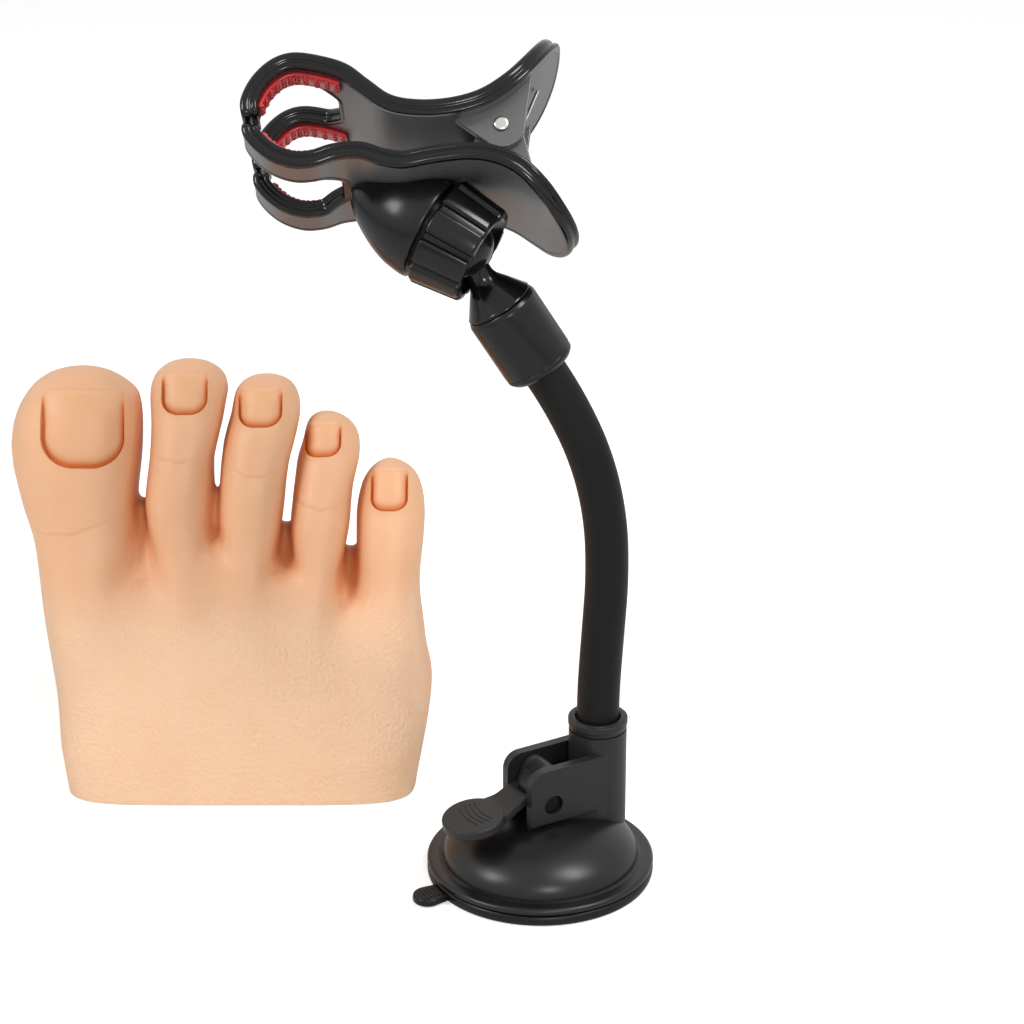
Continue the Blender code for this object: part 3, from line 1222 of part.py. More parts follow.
def make_spring(clip):
    """Torsion spring: an unbroken wire, coiled round the pin, with a leg in each shell."""
    curve = bpy.data.curves.new("torsion_spring", "CURVE")
    curve.dimensions = "3D"
    curve.bevel_depth = WIRE_RADIUS
    curve.bevel_resolution = 1
    curve.use_fill_caps = True
    length = COIL_TURNS * COIL_PITCH
    upper = shell_line(UPPER_LINE_SHARES)
    lower = shell_line(LOWER_LINE_SHARES)
    reach = COIL_RADIUS * 2.6
    inside = SHELL_RIM / 2 + SHELL_PLATE / 2 + WIRE_RADIUS + GAP
    top, top_way = upper.at(upper.length_at_x(reach * 0.55))
    low, low_way = lower.at(lower.length_at_x(reach))
    top = top + Vector((top_way.y, -top_way.x)) * inside
    low = low + Vector((-low_way.y, low_way.x)) * inside
    route = [(low.x, low.y, -length / 2)]
    total = COIL_TURNS * COIL_STEPS
    sweep = 2 * math.pi * COIL_TURNS + LEG_LEAVES - LEG_ARRIVES
    for step in range(total + 1):
        angle = LEG_ARRIVES + sweep * step / total
        place = -length / 2 + length * step / total
        route.append((COIL_RADIUS * math.cos(angle), COIL_RADIUS * math.sin(angle), place))
    route.append((top.x, top.y, length / 2))
    spline = curve.splines.new("POLY")
    spline.points.add(len(route) - 1)
    for point, place in zip(spline.points, route):
        point.co = (*place, 1.0)
    spring = bpy.data.objects.new("torsion_spring", curve)
    bpy.context.collection.objects.link(spring)
    spring.parent = clip
    curve.materials.append(finish_for("torsion_spring", "steel"))
    print("the spring clears itself by %.2f mm" % (least_self_gap(route, COIL_STEPS // 2) / MM))
    return spring


def make_screws(clip):
    """Two pan-head screws that hold the bell under the lower shell."""
    line = shell_line(LOWER_LINE_SHARES)
    middle = BALL_U - (BELL_ROOT * 0.62) * math.cos(SOCKET_SLOPE)
    point, way = line.at(line.length_at_x(middle))
    inward = Vector((-way.y, way.x))
    seat = point + inward * (SHELL_RIM / 2 + SHELL_PLATE / 2 + SCREW_SEAT)
    profile = [(0.0, 0.0), (SCREW_HEAD_RADIUS, 0.0), (SCREW_HEAD_RADIUS, SCREW_HEAD_HEIGHT / 2),
               (SCREW_RADIUS, SCREW_HEAD_HEIGHT), (0.0, SCREW_HEAD_HEIGHT)]
    for index, sign in ((1, 1), (2, -1)):
        name = "housing_screw_%d" % index
        place = (seat.x, seat.y, sign * SCREW_SPACING / 2)
        turn = along((inward.x, inward.y, 0))
        piece(name, turned(name, profile, 14), "steel", clip, place, turn)


def main():
    """Build the foot, then the holder from its base up to the clip."""
    clear_scene()
    make_foot()
    base = frame("base_frame", (HOLDER_X, HOLDER_Y, 0), Matrix.Rotation(HOLDER_TURN, 4, "Z"))
    side = frame("side_frame", matrix=Matrix.Rotation(math.pi / 2, 4, "X"), parent=base)
    make_suction_pad(base)
    make_base_housing(base, side)
    make_post_collar(base)
    make_lever_pin(side)
    make_lever(side)
    make_pull_rod(side, base)

    post = Matrix.Rotation(HOLDER_TURN, 4, "Z") @ Vector((-POST_OFFSET, 0, 0))
    arm = frame("arm_frame", (HOLDER_X + post.x, HOLDER_Y + post.y, 0))
    make_core(arm)
    make_sleeve(arm)
    ball_x, ball_z = hinge_places()[6]
    down = Matrix.Rotation(math.radians(ARM_HEADINGS[6]) + math.pi, 4, "Y")
    ball = frame("ball_frame", (ball_x, 0, ball_z), down, arm)
    make_ferrule(ball)
    make_ball_stud(ball)

    tilt = Matrix.Rotation(CLIP_TILT, 4, "X")
    offset = tilt @ Vector((BALL_U, BALL_V, 0))
    clip = frame("clip_frame", (ball_x - offset.x, -offset.y, ball_z - offset.z), tilt, arm)
    axis = (math.cos(SOCKET_SLOPE), math.sin(SOCKET_SLOPE), 0)
    socket = frame("socket_frame", (BALL_U, BALL_V, 0), along(axis), clip)
    make_ball_seat(socket)
    make_socket_housing(socket, clip)
    make_ring_nut(socket)
    make_shells(clip, socket)
    make_hinge_pin(clip)
    make_grips(clip)
    make_spring(clip)
    make_screws(clip)


main()
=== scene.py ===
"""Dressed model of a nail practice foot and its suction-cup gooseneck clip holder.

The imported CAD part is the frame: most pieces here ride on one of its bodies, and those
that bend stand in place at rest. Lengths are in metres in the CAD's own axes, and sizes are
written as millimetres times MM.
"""
import logging
import math
from dataclasses import dataclass, field
from enum import Enum
from typing import Any, Iterable, Sequence

import bmesh
import bpy
from mathutils import Matrix, Vector
from mathutils.bvhtree import BVHTree


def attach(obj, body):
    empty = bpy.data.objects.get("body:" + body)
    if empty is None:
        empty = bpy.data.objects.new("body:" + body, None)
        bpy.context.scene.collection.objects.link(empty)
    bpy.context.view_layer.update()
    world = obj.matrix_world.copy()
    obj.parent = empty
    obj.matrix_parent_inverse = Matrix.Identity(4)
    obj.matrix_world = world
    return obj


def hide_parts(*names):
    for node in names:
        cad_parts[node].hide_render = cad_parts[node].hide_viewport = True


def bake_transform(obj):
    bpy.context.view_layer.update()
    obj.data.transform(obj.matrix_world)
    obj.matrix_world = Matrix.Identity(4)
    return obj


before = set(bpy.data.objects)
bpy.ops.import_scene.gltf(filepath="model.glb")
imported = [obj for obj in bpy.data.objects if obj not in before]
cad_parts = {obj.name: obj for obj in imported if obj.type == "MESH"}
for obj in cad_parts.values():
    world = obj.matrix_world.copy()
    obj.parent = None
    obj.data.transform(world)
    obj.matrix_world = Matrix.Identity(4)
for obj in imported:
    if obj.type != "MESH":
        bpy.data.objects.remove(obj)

LOG = logging.getLogger("practice_foot")
MM = 0.001
GAP = 0.3 * MM
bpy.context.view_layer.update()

Point = tuple[float, float, float]
Outline = list[tuple[float, float]]


class Body(str, Enum):
    """The bodies of the CAD part that pieces ride on."""

    BASE = "base"
    FOOT = "foot"
    LEVER = "lever"
    PULL_ROD = "pull_rod"
    ARM_END = "arm_end"
    CLIP = "clip"
    NUT = "ring_nut"
    UPPER_JAW = "upper_jaw"


class Slot(str, Enum):
    """The record's material slots."""

    SKIN = "skin_silicone"
    RUBBER = "pad_rubber"
    SATIN = "satin_plastic"
    GLOSS = "gloss_plastic"
    SLEEVE = "sleeve_plastic"
    RED = "red_rubber"
    WHITE = "white_plastic"
    STEEL = "steel"


# Shared helpers


def linear(code: str) -> tuple[float, float, float, float]:
    """Turn an sRGB hex colour into linear RGBA.

    Args:
        code: six hex digits.

    Returns:
        Red, green, blue and full alpha, linear.
    """
    parts = [int(code[place:place + 2], 16) / 255 for place in (0, 2, 4)]
    turned = [part / 12.92 if part <= 0.04045 else ((part + 0.055) / 1.055) ** 2.4 for part in parts]
    return (turned[0], turned[1], turned[2], 1.0)


def add_node(tree: bpy.types.NodeTree, kind: str, settings: dict[str, Any] | None = None,
             inputs: dict[Any, Any] | None = None) -> bpy.types.Node:
    """Add one node with its settings, values and links.

    Args:
        tree: the tree that gets the node.
        kind: Blender's name of the node's class.
        settings: attributes to set on the node.
        inputs: value or output socket for each input, by name or index.

    Returns:
        The new node.
    """
    node = tree.nodes.new(kind)
    for name, value in (settings or {}).items():
        setattr(node, name, value)
    feed(tree, node, inputs or {})
    return node


def feed(tree: bpy.types.NodeTree, node: bpy.types.Node, inputs: dict[Any, Any]) -> None:
    """Set a node's inputs, each to a plain value or to a link from an output socket."""
    for name, value in inputs.items():
        socket = node.inputs[name]
        if isinstance(value, bpy.types.NodeSocket):
            tree.links.new(value, socket)
        else:
            socket.default_value = value


def maths(tree: bpy.types.NodeTree, operation: str, *values: Any) -> bpy.types.NodeSocket:
    """The result of one Math node."""
    return add_node(tree, "ShaderNodeMath", {"operation": operation}, dict(enumerate(values))).outputs[0]


def mesh_from(name: str, points: Iterable[Sequence[float]], faces: list[list[int]],
              sharp: float = 40.0) -> bpy.types.Mesh:
    """Make a closed mesh with merged points and faces turned outward.

    Args:
        name: the mesh's name.
        points: its corners.
        faces: corner indices of each face.
        sharp: angle in degrees above which an edge is shaded sharp.

    Returns:
        The mesh.
    """
    mesh = bpy.data.meshes.new(name)
    mesh.from_pydata([tuple(point) for point in points], [], faces)
    edit = bmesh.new()
    edit.from_mesh(mesh)
    bmesh.ops.remove_doubles(edit, verts=edit.verts, dist=GAP / 300)
    bmesh.ops.recalc_face_normals(edit, faces=edit.faces)
    edit.to_mesh(mesh)
    edit.free()
    mesh.shade_smooth()
    mesh.set_sharp_from_angle(angle=math.radians(sharp))
    return mesh


def show(name: str, mesh: bpy.types.Mesh) -> bpy.types.Object:
    """Put a mesh into the scene as an object at the origin."""
    thing = bpy.data.objects.new(name, mesh)
    bpy.context.scene.collection.objects.link(thing)
    return thing


def baked(thing: bpy.types.Object, name: str) -> bpy.types.Mesh:
    """Turn an object's evaluated shape into a plain mesh, and remove the object.

    Args:
        thing: object whose modifiers are to be kept in the mesh.
        name: the new mesh's name.

    Returns:
        The plain mesh.
    """
    graph = bpy.context.evaluated_depsgraph_get()
    mesh = bpy.data.meshes.new_from_object(thing.evaluated_get(graph))
    mesh.name = name
    bpy.data.objects.remove(thing, do_unlink=True)
    return mesh


def set_inputs(modifier: bpy.types.Modifier, values: dict[str, Any]) -> None:
    """Set a node modifier's inputs by the names that its tree gives them."""
    for item in modifier.node_group.interface.items_tree:
        if item.item_type == "SOCKET" and item.in_out == "INPUT" and item.name in values:
            modifier[item.identifier] = values[item.name]


def run_tree(tree: bpy.types.NodeTree, mesh: bpy.types.Mesh, name: str,
             values: dict[str, Any]) -> bpy.types.Mesh:
    """Run a Geometry Nodes tree on a mesh and keep the result as a plain mesh.

    Args:
        tree: the tree.
        mesh: what the tree starts from.
        name: name of the result.
        values: the tree's inputs by name.

    Returns:
        The plain mesh.
    """
    carrier = show(name + "_carrier", mesh)
    modifier = carrier.modifiers.new(name, "NODES")
    modifier.node_group = tree
    set_inputs(modifier, values)
    carrier.update_tag()
    bpy.context.view_layer.update()
    return baked(carrier, name)


def finished(name: str, mesh: bpy.types.Mesh, materials: Sequence[bpy.types.Material], body: str,
             slot: Slot, *nodes: str) -> bpy.types.Object:
    """Hand one finished piece to the frame.

    Args:
        name: name of the piece.
        mesh: its mesh, already in place.
        materials: its materials; an empty list keeps the mesh's own.
        body: CAD body it rides on.
        slot: record slot of its finish; not used.
        nodes: CAD nodes that it stands for.

    Returns:
        The piece.
    """
    if materials:
        mesh.materials.clear()
        for material in materials:
            mesh.materials.append(material)
    piece = show(name, mesh)
    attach(piece, body)
    if nodes:
        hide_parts(*nodes)
    LOG.info("%s: %d faces on %s", name, len(mesh.polygons), body)
    return piece


def bending(name: str, mesh: bpy.types.Mesh, bodies: tuple[str, str],
            node: str) -> None:
    """Put one soft piece in the scene at rest, its transform baked in and its CAD node hidden.
        bodies: the two CAD bodies that a joint links.
        node: CAD node that it stands for.
    """
    piece = show(name, mesh)
    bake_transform(piece)
    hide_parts(node)
    LOG.info("%s: %d faces between %s and %s", name, len(mesh.polygons), *bodies)


def turned(profile: Outline, sides: int) -> tuple[list[Point], list[list[int]]]:
    """Turn an outline of (radius, height) points about Z into a closed shape.

    Args:
        profile: outline from one end on the axis to the other, or a closed loop off it.
        sides: number of faces round the axis.

    Returns:
        Points and faces.
    """
    points: list[Point] = []
    rings = []
    on_axis = profile[0][0] < GAP / 100
    for radius, height in profile:
        if radius < GAP / 100:
            rings.append([len(points)] * sides)
            points.append((0.0, 0.0, height))
            continue
        rings.append([len(points) + step for step in range(sides)])
        for step in range(sides):
            angle = 2 * math.pi * step / sides
            points.append((radius * math.cos(angle), radius * math.sin(angle), height))
    faces = []
    for index in range(len(rings) - 1 if on_axis else len(rings)):
        low, high = rings[index], rings[(index + 1) % len(rings)]
        for step in range(sides):
            after = (step + 1) % sides
            corners = list(dict.fromkeys([low[step], low[after], high[after], high[step]]))
            if len(corners) > 2:
                faces.append(corners)
    return points, faces


def rounded(profile: Outline, radius: float, steps: int = 4) -> Outline:
    """Round the corners of an outline.

    Args:
        profile: the outline's corners.
        radius: corner radius, less where the stretches are short.
        steps: stretches in each rounded corner.

    Returns:
        The rounded outline, with its two ends kept.
    """
    corners = [Vector(corner) for corner in profile]
    shape = [tuple(corners[0])]
    for before, corner, after in zip(corners, corners[1:], corners[2:]):
        back, on = before - corner, after - corner
        reach = min(radius, back.length * 0.45, on.length * 0.45)
        start, end = corner + back.normalized() * reach, corner + on.normalized() * reach
        shape += [tuple(point) for point in bowed(start, corner, end, steps)]
    shape.append(tuple(corners[-1]))
    return shape


def arc(centre: Sequence[float], radius: float, start: float, end: float, steps: int) -> Outline:
    """Points along an arc, its angles in degrees."""
    return [(centre[0] + radius * math.cos(math.radians(start + (end - start) * step / steps)),
             centre[1] + radius * math.sin(math.radians(start + (end - start) * step / steps)))
            for step in range(steps + 1)]


def bowed(start: Vector, corner: Vector, end: Vector, steps: int) -> list[Vector]:
    """Points from start to end of a curve that leaves and arrives along the lines to a corner."""
    shares = [step / steps for step in range(steps + 1)]
    return [start.lerp(corner, share).lerp(corner.lerp(end, share), share) for share in shares]


def banded(size: int, count: int, closed: bool) -> list[list[int]]:
    """Faces between rings of points that follow each other.

    Args:
        size: points in each ring.
        count: number of rings.
        closed: whether the last ring meets the first.

    Returns:
        Corner indices of each face.
    """
    faces = []
    for index in range(count if closed else count - 1):
        low, high = index * size, (index + 1) % count * size
        faces += [[low + step, low + (step + 1) % size, high + (step + 1) % size, high + step]
                  for step in range(size)]
    return faces


def inward_ways(loop: Sequence[Vector]) -> list[Vector]:
    """The direction into a closed plane loop at each of its points."""
    count = len(loop)
    area = sum(here.x * there.y - there.x * here.y for here, there in zip(loop[-1:] + loop[:-1], loop))
    hand = 1 if area > 0 else -1
    ways = [(loop[(index + 1) % count] - loop[index - 1]).normalized() for index in range(count)]
    return [Vector((-way.y, way.x)) * hand for way in ways]


def placed(matrix: Matrix, points: Iterable[Sequence[float]]) -> list[Vector]:
    """Points moved by a matrix."""
    return [matrix @ Vector(point) for point in points]


def hull(points: Sequence[Sequence[float]]) -> Outline:
    """The convex outline round some plane points, walked once round."""
    ordered = sorted(set(tuple(point) for point in points))
    loop: Outline = []
    for run in (ordered, ordered[::-1]):
        chain: Outline = []
        for point in run:
            while len(chain) > 1:
                first, last = Vector(chain[-1]) - Vector(chain[-2]), Vector(point) - Vector(chain[-1])
                if first.x * last.y - first.y * last.x > 0:
                    break
                chain.pop()
            chain.append(point)
        loop += chain[:-1]
    return loop


class Line:
    """A smooth plane curve through given points, read by its length from the start."""

    def __init__(self, knots: Sequence[Sequence[float]], steps: int = 12) -> None:
        """Draw a Catmull-Rom curve.

        Args:
            knots: the points that it passes through.
            steps: stretches between two knots.
        """
        self.points: list[Vector] = []
        ends = [knots[0], *knots, knots[-1]]
        for index in range(1, len(ends) - 2):
            before, start, end, after = (Vector(ends[index + shift]) for shift in (-1, 0, 1, 2))
            for step in range(steps):
                share = step / steps
                self.points.append(0.5 * (2 * start + (end - before) * share
                                          + (2 * before - 5 * start + 4 * end - after) * share ** 2
                                          + (3 * start - before - 3 * end + after) * share ** 3))
        self.points.append(Vector(knots[-1]))
        self.lengths = [0.0]
        for start, end in zip(self.points, self.points[1:]):
            self.lengths.append(self.lengths[-1] + (end - start).length)
        self.length = self.lengths[-1]

    def at(self, length: float) -> tuple[Vector, Vector]:
        """Read the curve.

        Args:
            length: distance along the curve.

        Returns:
            The point there and the direction of travel.
        """
        length = min(max(length, 0.0), self.length)
        index = 0
        while index < len(self.lengths) - 2 and self.lengths[index + 1] < length:
            index += 1
        share = (length - self.lengths[index]) / (self.lengths[index + 1] - self.lengths[index])
        low = self.points[max(index - 1, 0)]
        high = self.points[min(index + 2, len(self.points) - 1)]
        return self.points[index].lerp(self.points[index + 1], share), (high - low).normalized()

    def length_at_x(self, place: float) -> float:
        """The length at which the curve, going towards +X, passes a place in x."""
        for index, point in enumerate(self.points):
            if index and point.x >= place > self.points[index - 1].x:
                return self.lengths[index]
        return self.length


def bevelled(node: str, width: float, sharp: float = 28.0) -> bpy.types.Mesh:
    """A copy of a CAD node with its edges rounded and its curved faces shaded smooth.

    Args:
        node: the CAD node.
        width: width of the rounding.
        sharp: angle in degrees above which an edge is rounded.

    Returns:
        The new mesh, in place.
    """
    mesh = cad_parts[node].data.copy()
    edit = bmesh.new()
    edit.from_mesh(mesh)
    bmesh.ops.remove_doubles(edit, verts=edit.verts, dist=GAP / 100)
    bmesh.ops.dissolve_limit(edit, angle_limit=math.radians(0.4), verts=edit.verts, edges=edit.edges)
    edit.to_mesh(mesh)
    edit.free()
    mesh.shade_smooth()
    mesh.set_sharp_from_angle(angle=math.radians(sharp))
    return rounded_edges(mesh, width, sharp, node + "_finished", "MITER_ARC")


# Finishes


def dress(material: bpy.types.Material, values: dict[str, Any]) -> bpy.types.Material:
    """Set the material's Principled shader, by values or links, and give the material back."""
    feed(material.node_tree, material.node_tree.nodes["Principled BSDF"], values)
    return material


def fresh(name: str) -> tuple[bpy.types.Material, bpy.types.NodeTree, bpy.types.NodeSocket]:
    """A new node material, its tree and its Object coordinates."""
    material = bpy.data.materials.new(name)
    material.use_nodes = True
    place = add_node(material.node_tree, "ShaderNodeTexCoord")
    return material, material.node_tree, place.outputs["Object"]


def noise(tree: bpy.types.NodeTree, place: bpy.types.NodeSocket, scale: float, detail: float,
          rough: float = 0.5) -> bpy.types.NodeSocket:
    """Noise with so many waves to a metre."""
    return add_node(tree, "ShaderNodeTexNoise", None,
                    {"Vector": place, "Scale": scale, "Detail": detail, "Roughness": rough}).outputs["Fac"]


def mixed(tree: bpy.types.NodeTree, share: bpy.types.NodeSocket, first: Any,
          second: Any) -> bpy.types.NodeSocket:
    """A first colour that turns into a second as the share grows."""
    colours = [linear(colour) if isinstance(colour, str) else colour for colour in (first, second)]
    return add_node(tree, "ShaderNodeMix", {"data_type": "RGBA"},
                    {"Factor": share, 6: colours[0], 7: colours[1]}).outputs[2]


def ranged(tree: bpy.types.NodeTree, value: bpy.types.NodeSocket, low: float, high: float,
           start: float = 0.3, end: float = 0.7) -> bpy.types.NodeSocket:
    """A value's stretch from start to end, spread from low to high."""
    return add_node(tree, "ShaderNodeMapRange", None,
                    {"Value": value, "From Min": start, "From Max": end,
                     "To Min": low, "To Max": high}).outputs["Result"]


def bumped(tree: bpy.types.NodeTree, height: bpy.types.NodeSocket, strength: float,
           distance: float) -> bpy.types.NodeSocket:
    """The normal of a surface with a fine relief."""
    return add_node(tree, "ShaderNodeBump", None,
                    {"Height": height, "Strength": strength, "Distance": distance}).outputs["Normal"]


def share_of(tree: bpy.types.NodeTree, name: str) -> bpy.types.NodeSocket:
    """A share that the mesh carries under a name."""
    return add_node(tree, "ShaderNodeAttribute", {"attribute_name": name}).outputs["Fac"]


@dataclass(frozen=True)
class MouldedPlastic:
    """An injection-moulded thermoplastic with the fine grain that its mould leaves.

    The grain breaks the highlight into a soft sheen, and handling polishes it in patches.
    """

    name: str
    colour: str
    worn: str
    smooth: float
    rough: float
    grain: float
    relief: float
    ior: float = 1.53
    specular: float = 0.22

    def build(self) -> bpy.types.Material:
        """Make the material."""
        material, tree, place = fresh(self.name)
        patches = noise(tree, place, 1 / (24 * MM), 4.0, 0.6)
        grain = noise(tree, place, 1 / self.grain, 3.0, 0.55)
        return dress(material, {"Base Color": mixed(tree, patches, self.colour, self.worn),
                                "Roughness": ranged(tree, patches, self.smooth, self.rough),
                                "Normal": bumped(tree, grain, 0.35, self.relief),
                                "IOR": self.ior, "Specular IOR Level": self.specular})


@dataclass(frozen=True)
class TurnedMetal:
    """Bright steel with the fine lines of its drawing or turning, seen as streaks."""

    name: str
    colour: str
    stained: str
    rough: float
    line: float

    def build(self) -> bpy.types.Material:
        """Make the material."""
        material, tree, place = fresh(self.name)
        across = 1 / self.line
        stretched = add_node(tree, "ShaderNodeMapping", None,
                             {"Vector": place, "Scale": (across, across, 0.1 * across)}).outputs["Vector"]
        lines = noise(tree, stretched, 1.0, 2.0)
        gloss = ranged(tree, lines, self.rough * 0.8, self.rough * 1.3, 0.0, 1.0)
        return dress(material, {"Base Color": mixed(tree, lines, self.stained, self.colour),
                                "Roughness": gloss, "Metallic": 1.0,
                                "Normal": bumped(tree, lines, 0.2, 0.02 * MM)})


@dataclass(frozen=True)
class PracticeSilicone:
    """Platinum-cured silicone cast in a skin-textured mould.

    Light enters it and comes back warmer, so thin edges glow. The orange-brown in clefts, creases
    and round the nail beds is painted shade, from a baked shut-in share. The cast skin is satin,
    with a pebbled grain on the instep that breaks into small glints.
    """

    name: str = "platinum_silicone_skin"
    toe: str = "F1BE95"
    mottled_toe: str = "E9B087"
    colour: str = "F9D2AF"
    mottled: str = "F2C39C"
    cleft: str = "D8772F"
    nail: str = "EAB489"
    pore: float = 1.05 * MM
    relief: float = 0.42 * MM
    instep_gloss: float = -0.13

    def build(self) -> bpy.types.Material:
        """Make the material."""
        material, tree, place = fresh(self.name)
        blotch = noise(tree, place, 1 / (16 * MM), 5.0, 0.62)
        instep, nail, cleft = (share_of(tree, name) for name in ("instep", "nail", "cleft"))
        skin = mixed(tree, instep, mixed(tree, blotch, self.toe, self.mottled_toe),
                     mixed(tree, blotch, self.colour, self.mottled))
        # Painted shade: the baked shut-in share turns clefts, creases and nail-bed folds orange-brown.
        tone = mixed(tree, cleft, mixed(tree, nail, skin, self.nail), self.cleft)
        pebbles = add_node(tree, "ShaderNodeTexVoronoi", {"feature": "SMOOTH_F1"},
                           {"Vector": place, "Scale": 1 / self.pore, "Smoothness": 0.4})
        lines = noise(tree, place, 1 / (0.5 * MM), 3.0, 0.6)
        grain = maths(tree, "MULTIPLY", maths(tree, "ADD", pebbles.outputs["Distance"], lines), instep)
        gloss = maths(tree, "MULTIPLY_ADD", instep, self.instep_gloss, ranged(tree, blotch, 0.42, 0.50))
        return dress(material, {"Base Color": tone, "Roughness": gloss,
                                "Normal": bumped(tree, grain, 0.62, self.relief),
                                "IOR": 1.41, "Subsurface Weight": 0.25,
                                "Subsurface Radius": (1.0, 0.42, 0.22), "Subsurface Scale": 4 * MM})


@dataclass(frozen=True)
class GripRubber:
    """Translucent red thermoplastic rubber: it glows where it is thin, and dust dulls it."""

    name: str = "red_thermoplastic_rubber"
    colour: str = "D8242C"
    dark: str = "A0141C"

    def build(self) -> bpy.types.Material:
        """Make the material."""
        material, tree, place = fresh(self.name)
        cloud = noise(tree, place, 1 / (3 * MM), 3.0)
        grain = noise(tree, place, 1 / (0.25 * MM), 2.0)
        return dress(material, {"Base Color": mixed(tree, cloud, self.colour, self.dark),
                                "Normal": bumped(tree, grain, 0.3, 0.03 * MM),
                                "IOR": 1.5, "Roughness": 0.32, "Subsurface Weight": 0.3,
                                "Subsurface Radius": (1.0, 0.1, 0.08), "Subsurface Scale": 1.5 * MM,
                                "Coat Weight": 0.3, "Coat Roughness": 0.25})


class Finishes:
    """Every finish of the part, made once."""

    def __init__(self) -> None:
        """Make the materials."""
        self.skin = PracticeSilicone().build()
        self.red = GripRubber().build()
        # Matt-textured black ABS: charcoal where light grazes its grain.
        self.satin = MouldedPlastic("textured_black_abs", "1B1B1B", "222222", 0.36, 0.46,
                                    0.45 * MM, 0.05 * MM, specular=0.30).build()
        # Polished black ABS: the mould is mirror finished, so only handling marks break the shine.
        self.gloss = MouldedPlastic("polished_black_abs", "0A0A0B", "0F0F10", 0.12, 0.20,
                                    0.9 * MM, 0.01 * MM, specular=0.30).build()
        # Spark-eroded ABS plate, the same black plastic as the rim: its grey colour is painted sheen, and it
        # spreads the highlight wide.
        self.plate = MouldedPlastic("satin_black_abs_plate", "454547", "4F4F51", 0.30, 0.38,
                                    0.6 * MM, 0.03 * MM, specular=0.90).build()
        # Plasticised PVC sleeve: softer and a little warmer than the ABS, with a drawn skin.
        self.sleeve = MouldedPlastic("soft_black_pvc", "111111", "171717", 0.42, 0.52,
                                     0.7 * MM, 0.04 * MM, 1.52, 0.14).build()
        # Moulded PVC cup: oily shine that dust turns satin in patches.
        self.rubber = MouldedPlastic("moulded_black_rubber", "0C0C0D", "121213", 0.24, 0.40,
                                     0.8 * MM, 0.03 * MM, 1.51).build()
        # The dome's outside: the same ABS from a smoother face of the mould.
        self.shell = MouldedPlastic("smooth_black_abs_dome", "0C0C0D", "101011", 0.30, 0.35,
                                    0.6 * MM, 0.02 * MM, specular=0.34).build()
        # White nylon, waxy and slightly cream.
        self.nylon = MouldedPlastic("white_nylon", "E6E4DE", "D9D6CE", 0.38, 0.5, 0.5 * MM, 0.03 * MM,
                                    specular=0.5).build()
        # Nickel-plated steel pin and screws.
        self.nickel = TurnedMetal("nickel_plated_steel", "D9D8D4", "B9B7B1", 0.22, 0.12 * MM).build()
        # Spring wire: drawn steel, darker and streaky.
        self.wire = TurnedMetal("drawn_spring_steel", "A9A8A6", "7E7C79", 0.30, 0.08 * MM).build()
        # Semi-gloss black ABS, plain mould, between the polished and the textured parts.
        self.semi = MouldedPlastic("smooth_black_abs", "0D0D0E", "131314", 0.22, 0.30,
                                   0.7 * MM, 0.015 * MM, specular=0.28).build()
        # Black-oxidised steel axle, nearly lost in its hole.
        self.oxide = TurnedMetal("black_oxidised_steel", "2A2A2C", "161617", 0.42, 0.10 * MM).build()


# Tables, as shares of the piece's own sizes

# Side views of the two shells: the rim's outer line, tip to paddle, of the jaw's reach
UPPER_LINE_SHARES = (
    (-0.994, -0.011), (-1.003, 0.066), (-0.963, 0.159), (-0.891, 0.233), (-0.805, 0.264),
    (-0.695, 0.250), (-0.594, 0.216), (-0.508, 0.150), (-0.422, 0.089), (-0.313, 0.070),
    (-0.188, 0.080), (-0.078, 0.116), (0.016, 0.183), (0.086, 0.266), (0.142, 0.360),
    (0.174, 0.439),
)
LOWER_LINE_SHARES = (
    (-0.994, -0.017), (-0.992, -0.070), (-0.950, -0.130), (-0.883, -0.181), (-0.797, -0.209),
    (-0.711, -0.203), (-0.633, -0.177), (-0.547, -0.170), (-0.469, -0.195), (-0.375, -0.209),
    (-0.266, -0.189), (-0.141, -0.173), (-0.047, -0.181), (0.047, -0.219), (0.125, -0.284),
    (0.195, -0.358), (0.266, -0.422),
)
# Bell: place along it, and radius, of its length and end radius
BELL_SHARES = ((0.00, 0.97), (0.03, 1.00), (0.14, 0.99), (0.33, 0.93), (0.55, 0.78),
               (0.78, 0.55), (0.93, 0.32), (1.00, 0.10))
# Cone of the ball stud: radius, of the neck's, and place from the waist, of half its length
CONE_SHARES = ((1.0, -0.72), (1.14, -0.42), (1.58, 0.0), (2.08, 0.5))
# Cup's underside from its middle to its sealing rim: radius and height
CUP_SHARES = ((0.0, 1.0), (0.45, 0.82), (0.8, 0.3))
# Lever arm's middle line, of the thumb disc's distance and the arm's rise
LEVER_ARM_SHARES = ((0.29, 0.175), (0.36, 0.13), (0.443, 0.04), (0.576, -0.09), (0.70, -0.165))
# Body of the foot: height, left, right, front and back, of height, width and depth
BODY_SHARES = (
    (-0.10, -0.416, 0.408, -0.48, 0.46),
    (0.00, -0.424, 0.415, -0.49, 0.48),
    (0.10, -0.442, 0.434, -0.45, 0.51),
    (0.20, -0.454, 0.451, -0.39, 0.55),
    (0.30, -0.469, 0.459, -0.32, 0.60),
    (0.40, -0.487, 0.436, -0.23, 0.62),
    (0.48, -0.485, 0.400, -0.12, 0.56),
    (0.54, -0.440, 0.350, 0.00, 0.46),
    (0.58, -0.380, 0.280, 0.14, 0.34),
)
# Height of the instep across the foot, of the body's own top
INSTEP_PLACE_SHARES = (-0.50, -0.30, -0.235, -0.15, -0.06, 0.03, 0.09, 0.16, 0.225, 0.32, 0.45)
INSTEP_HEIGHT_SHARES = (0.90, 0.84, 0.74, 0.84, 0.92, 0.90, 0.80, 0.70, 0.58, 0.56, 0.56)
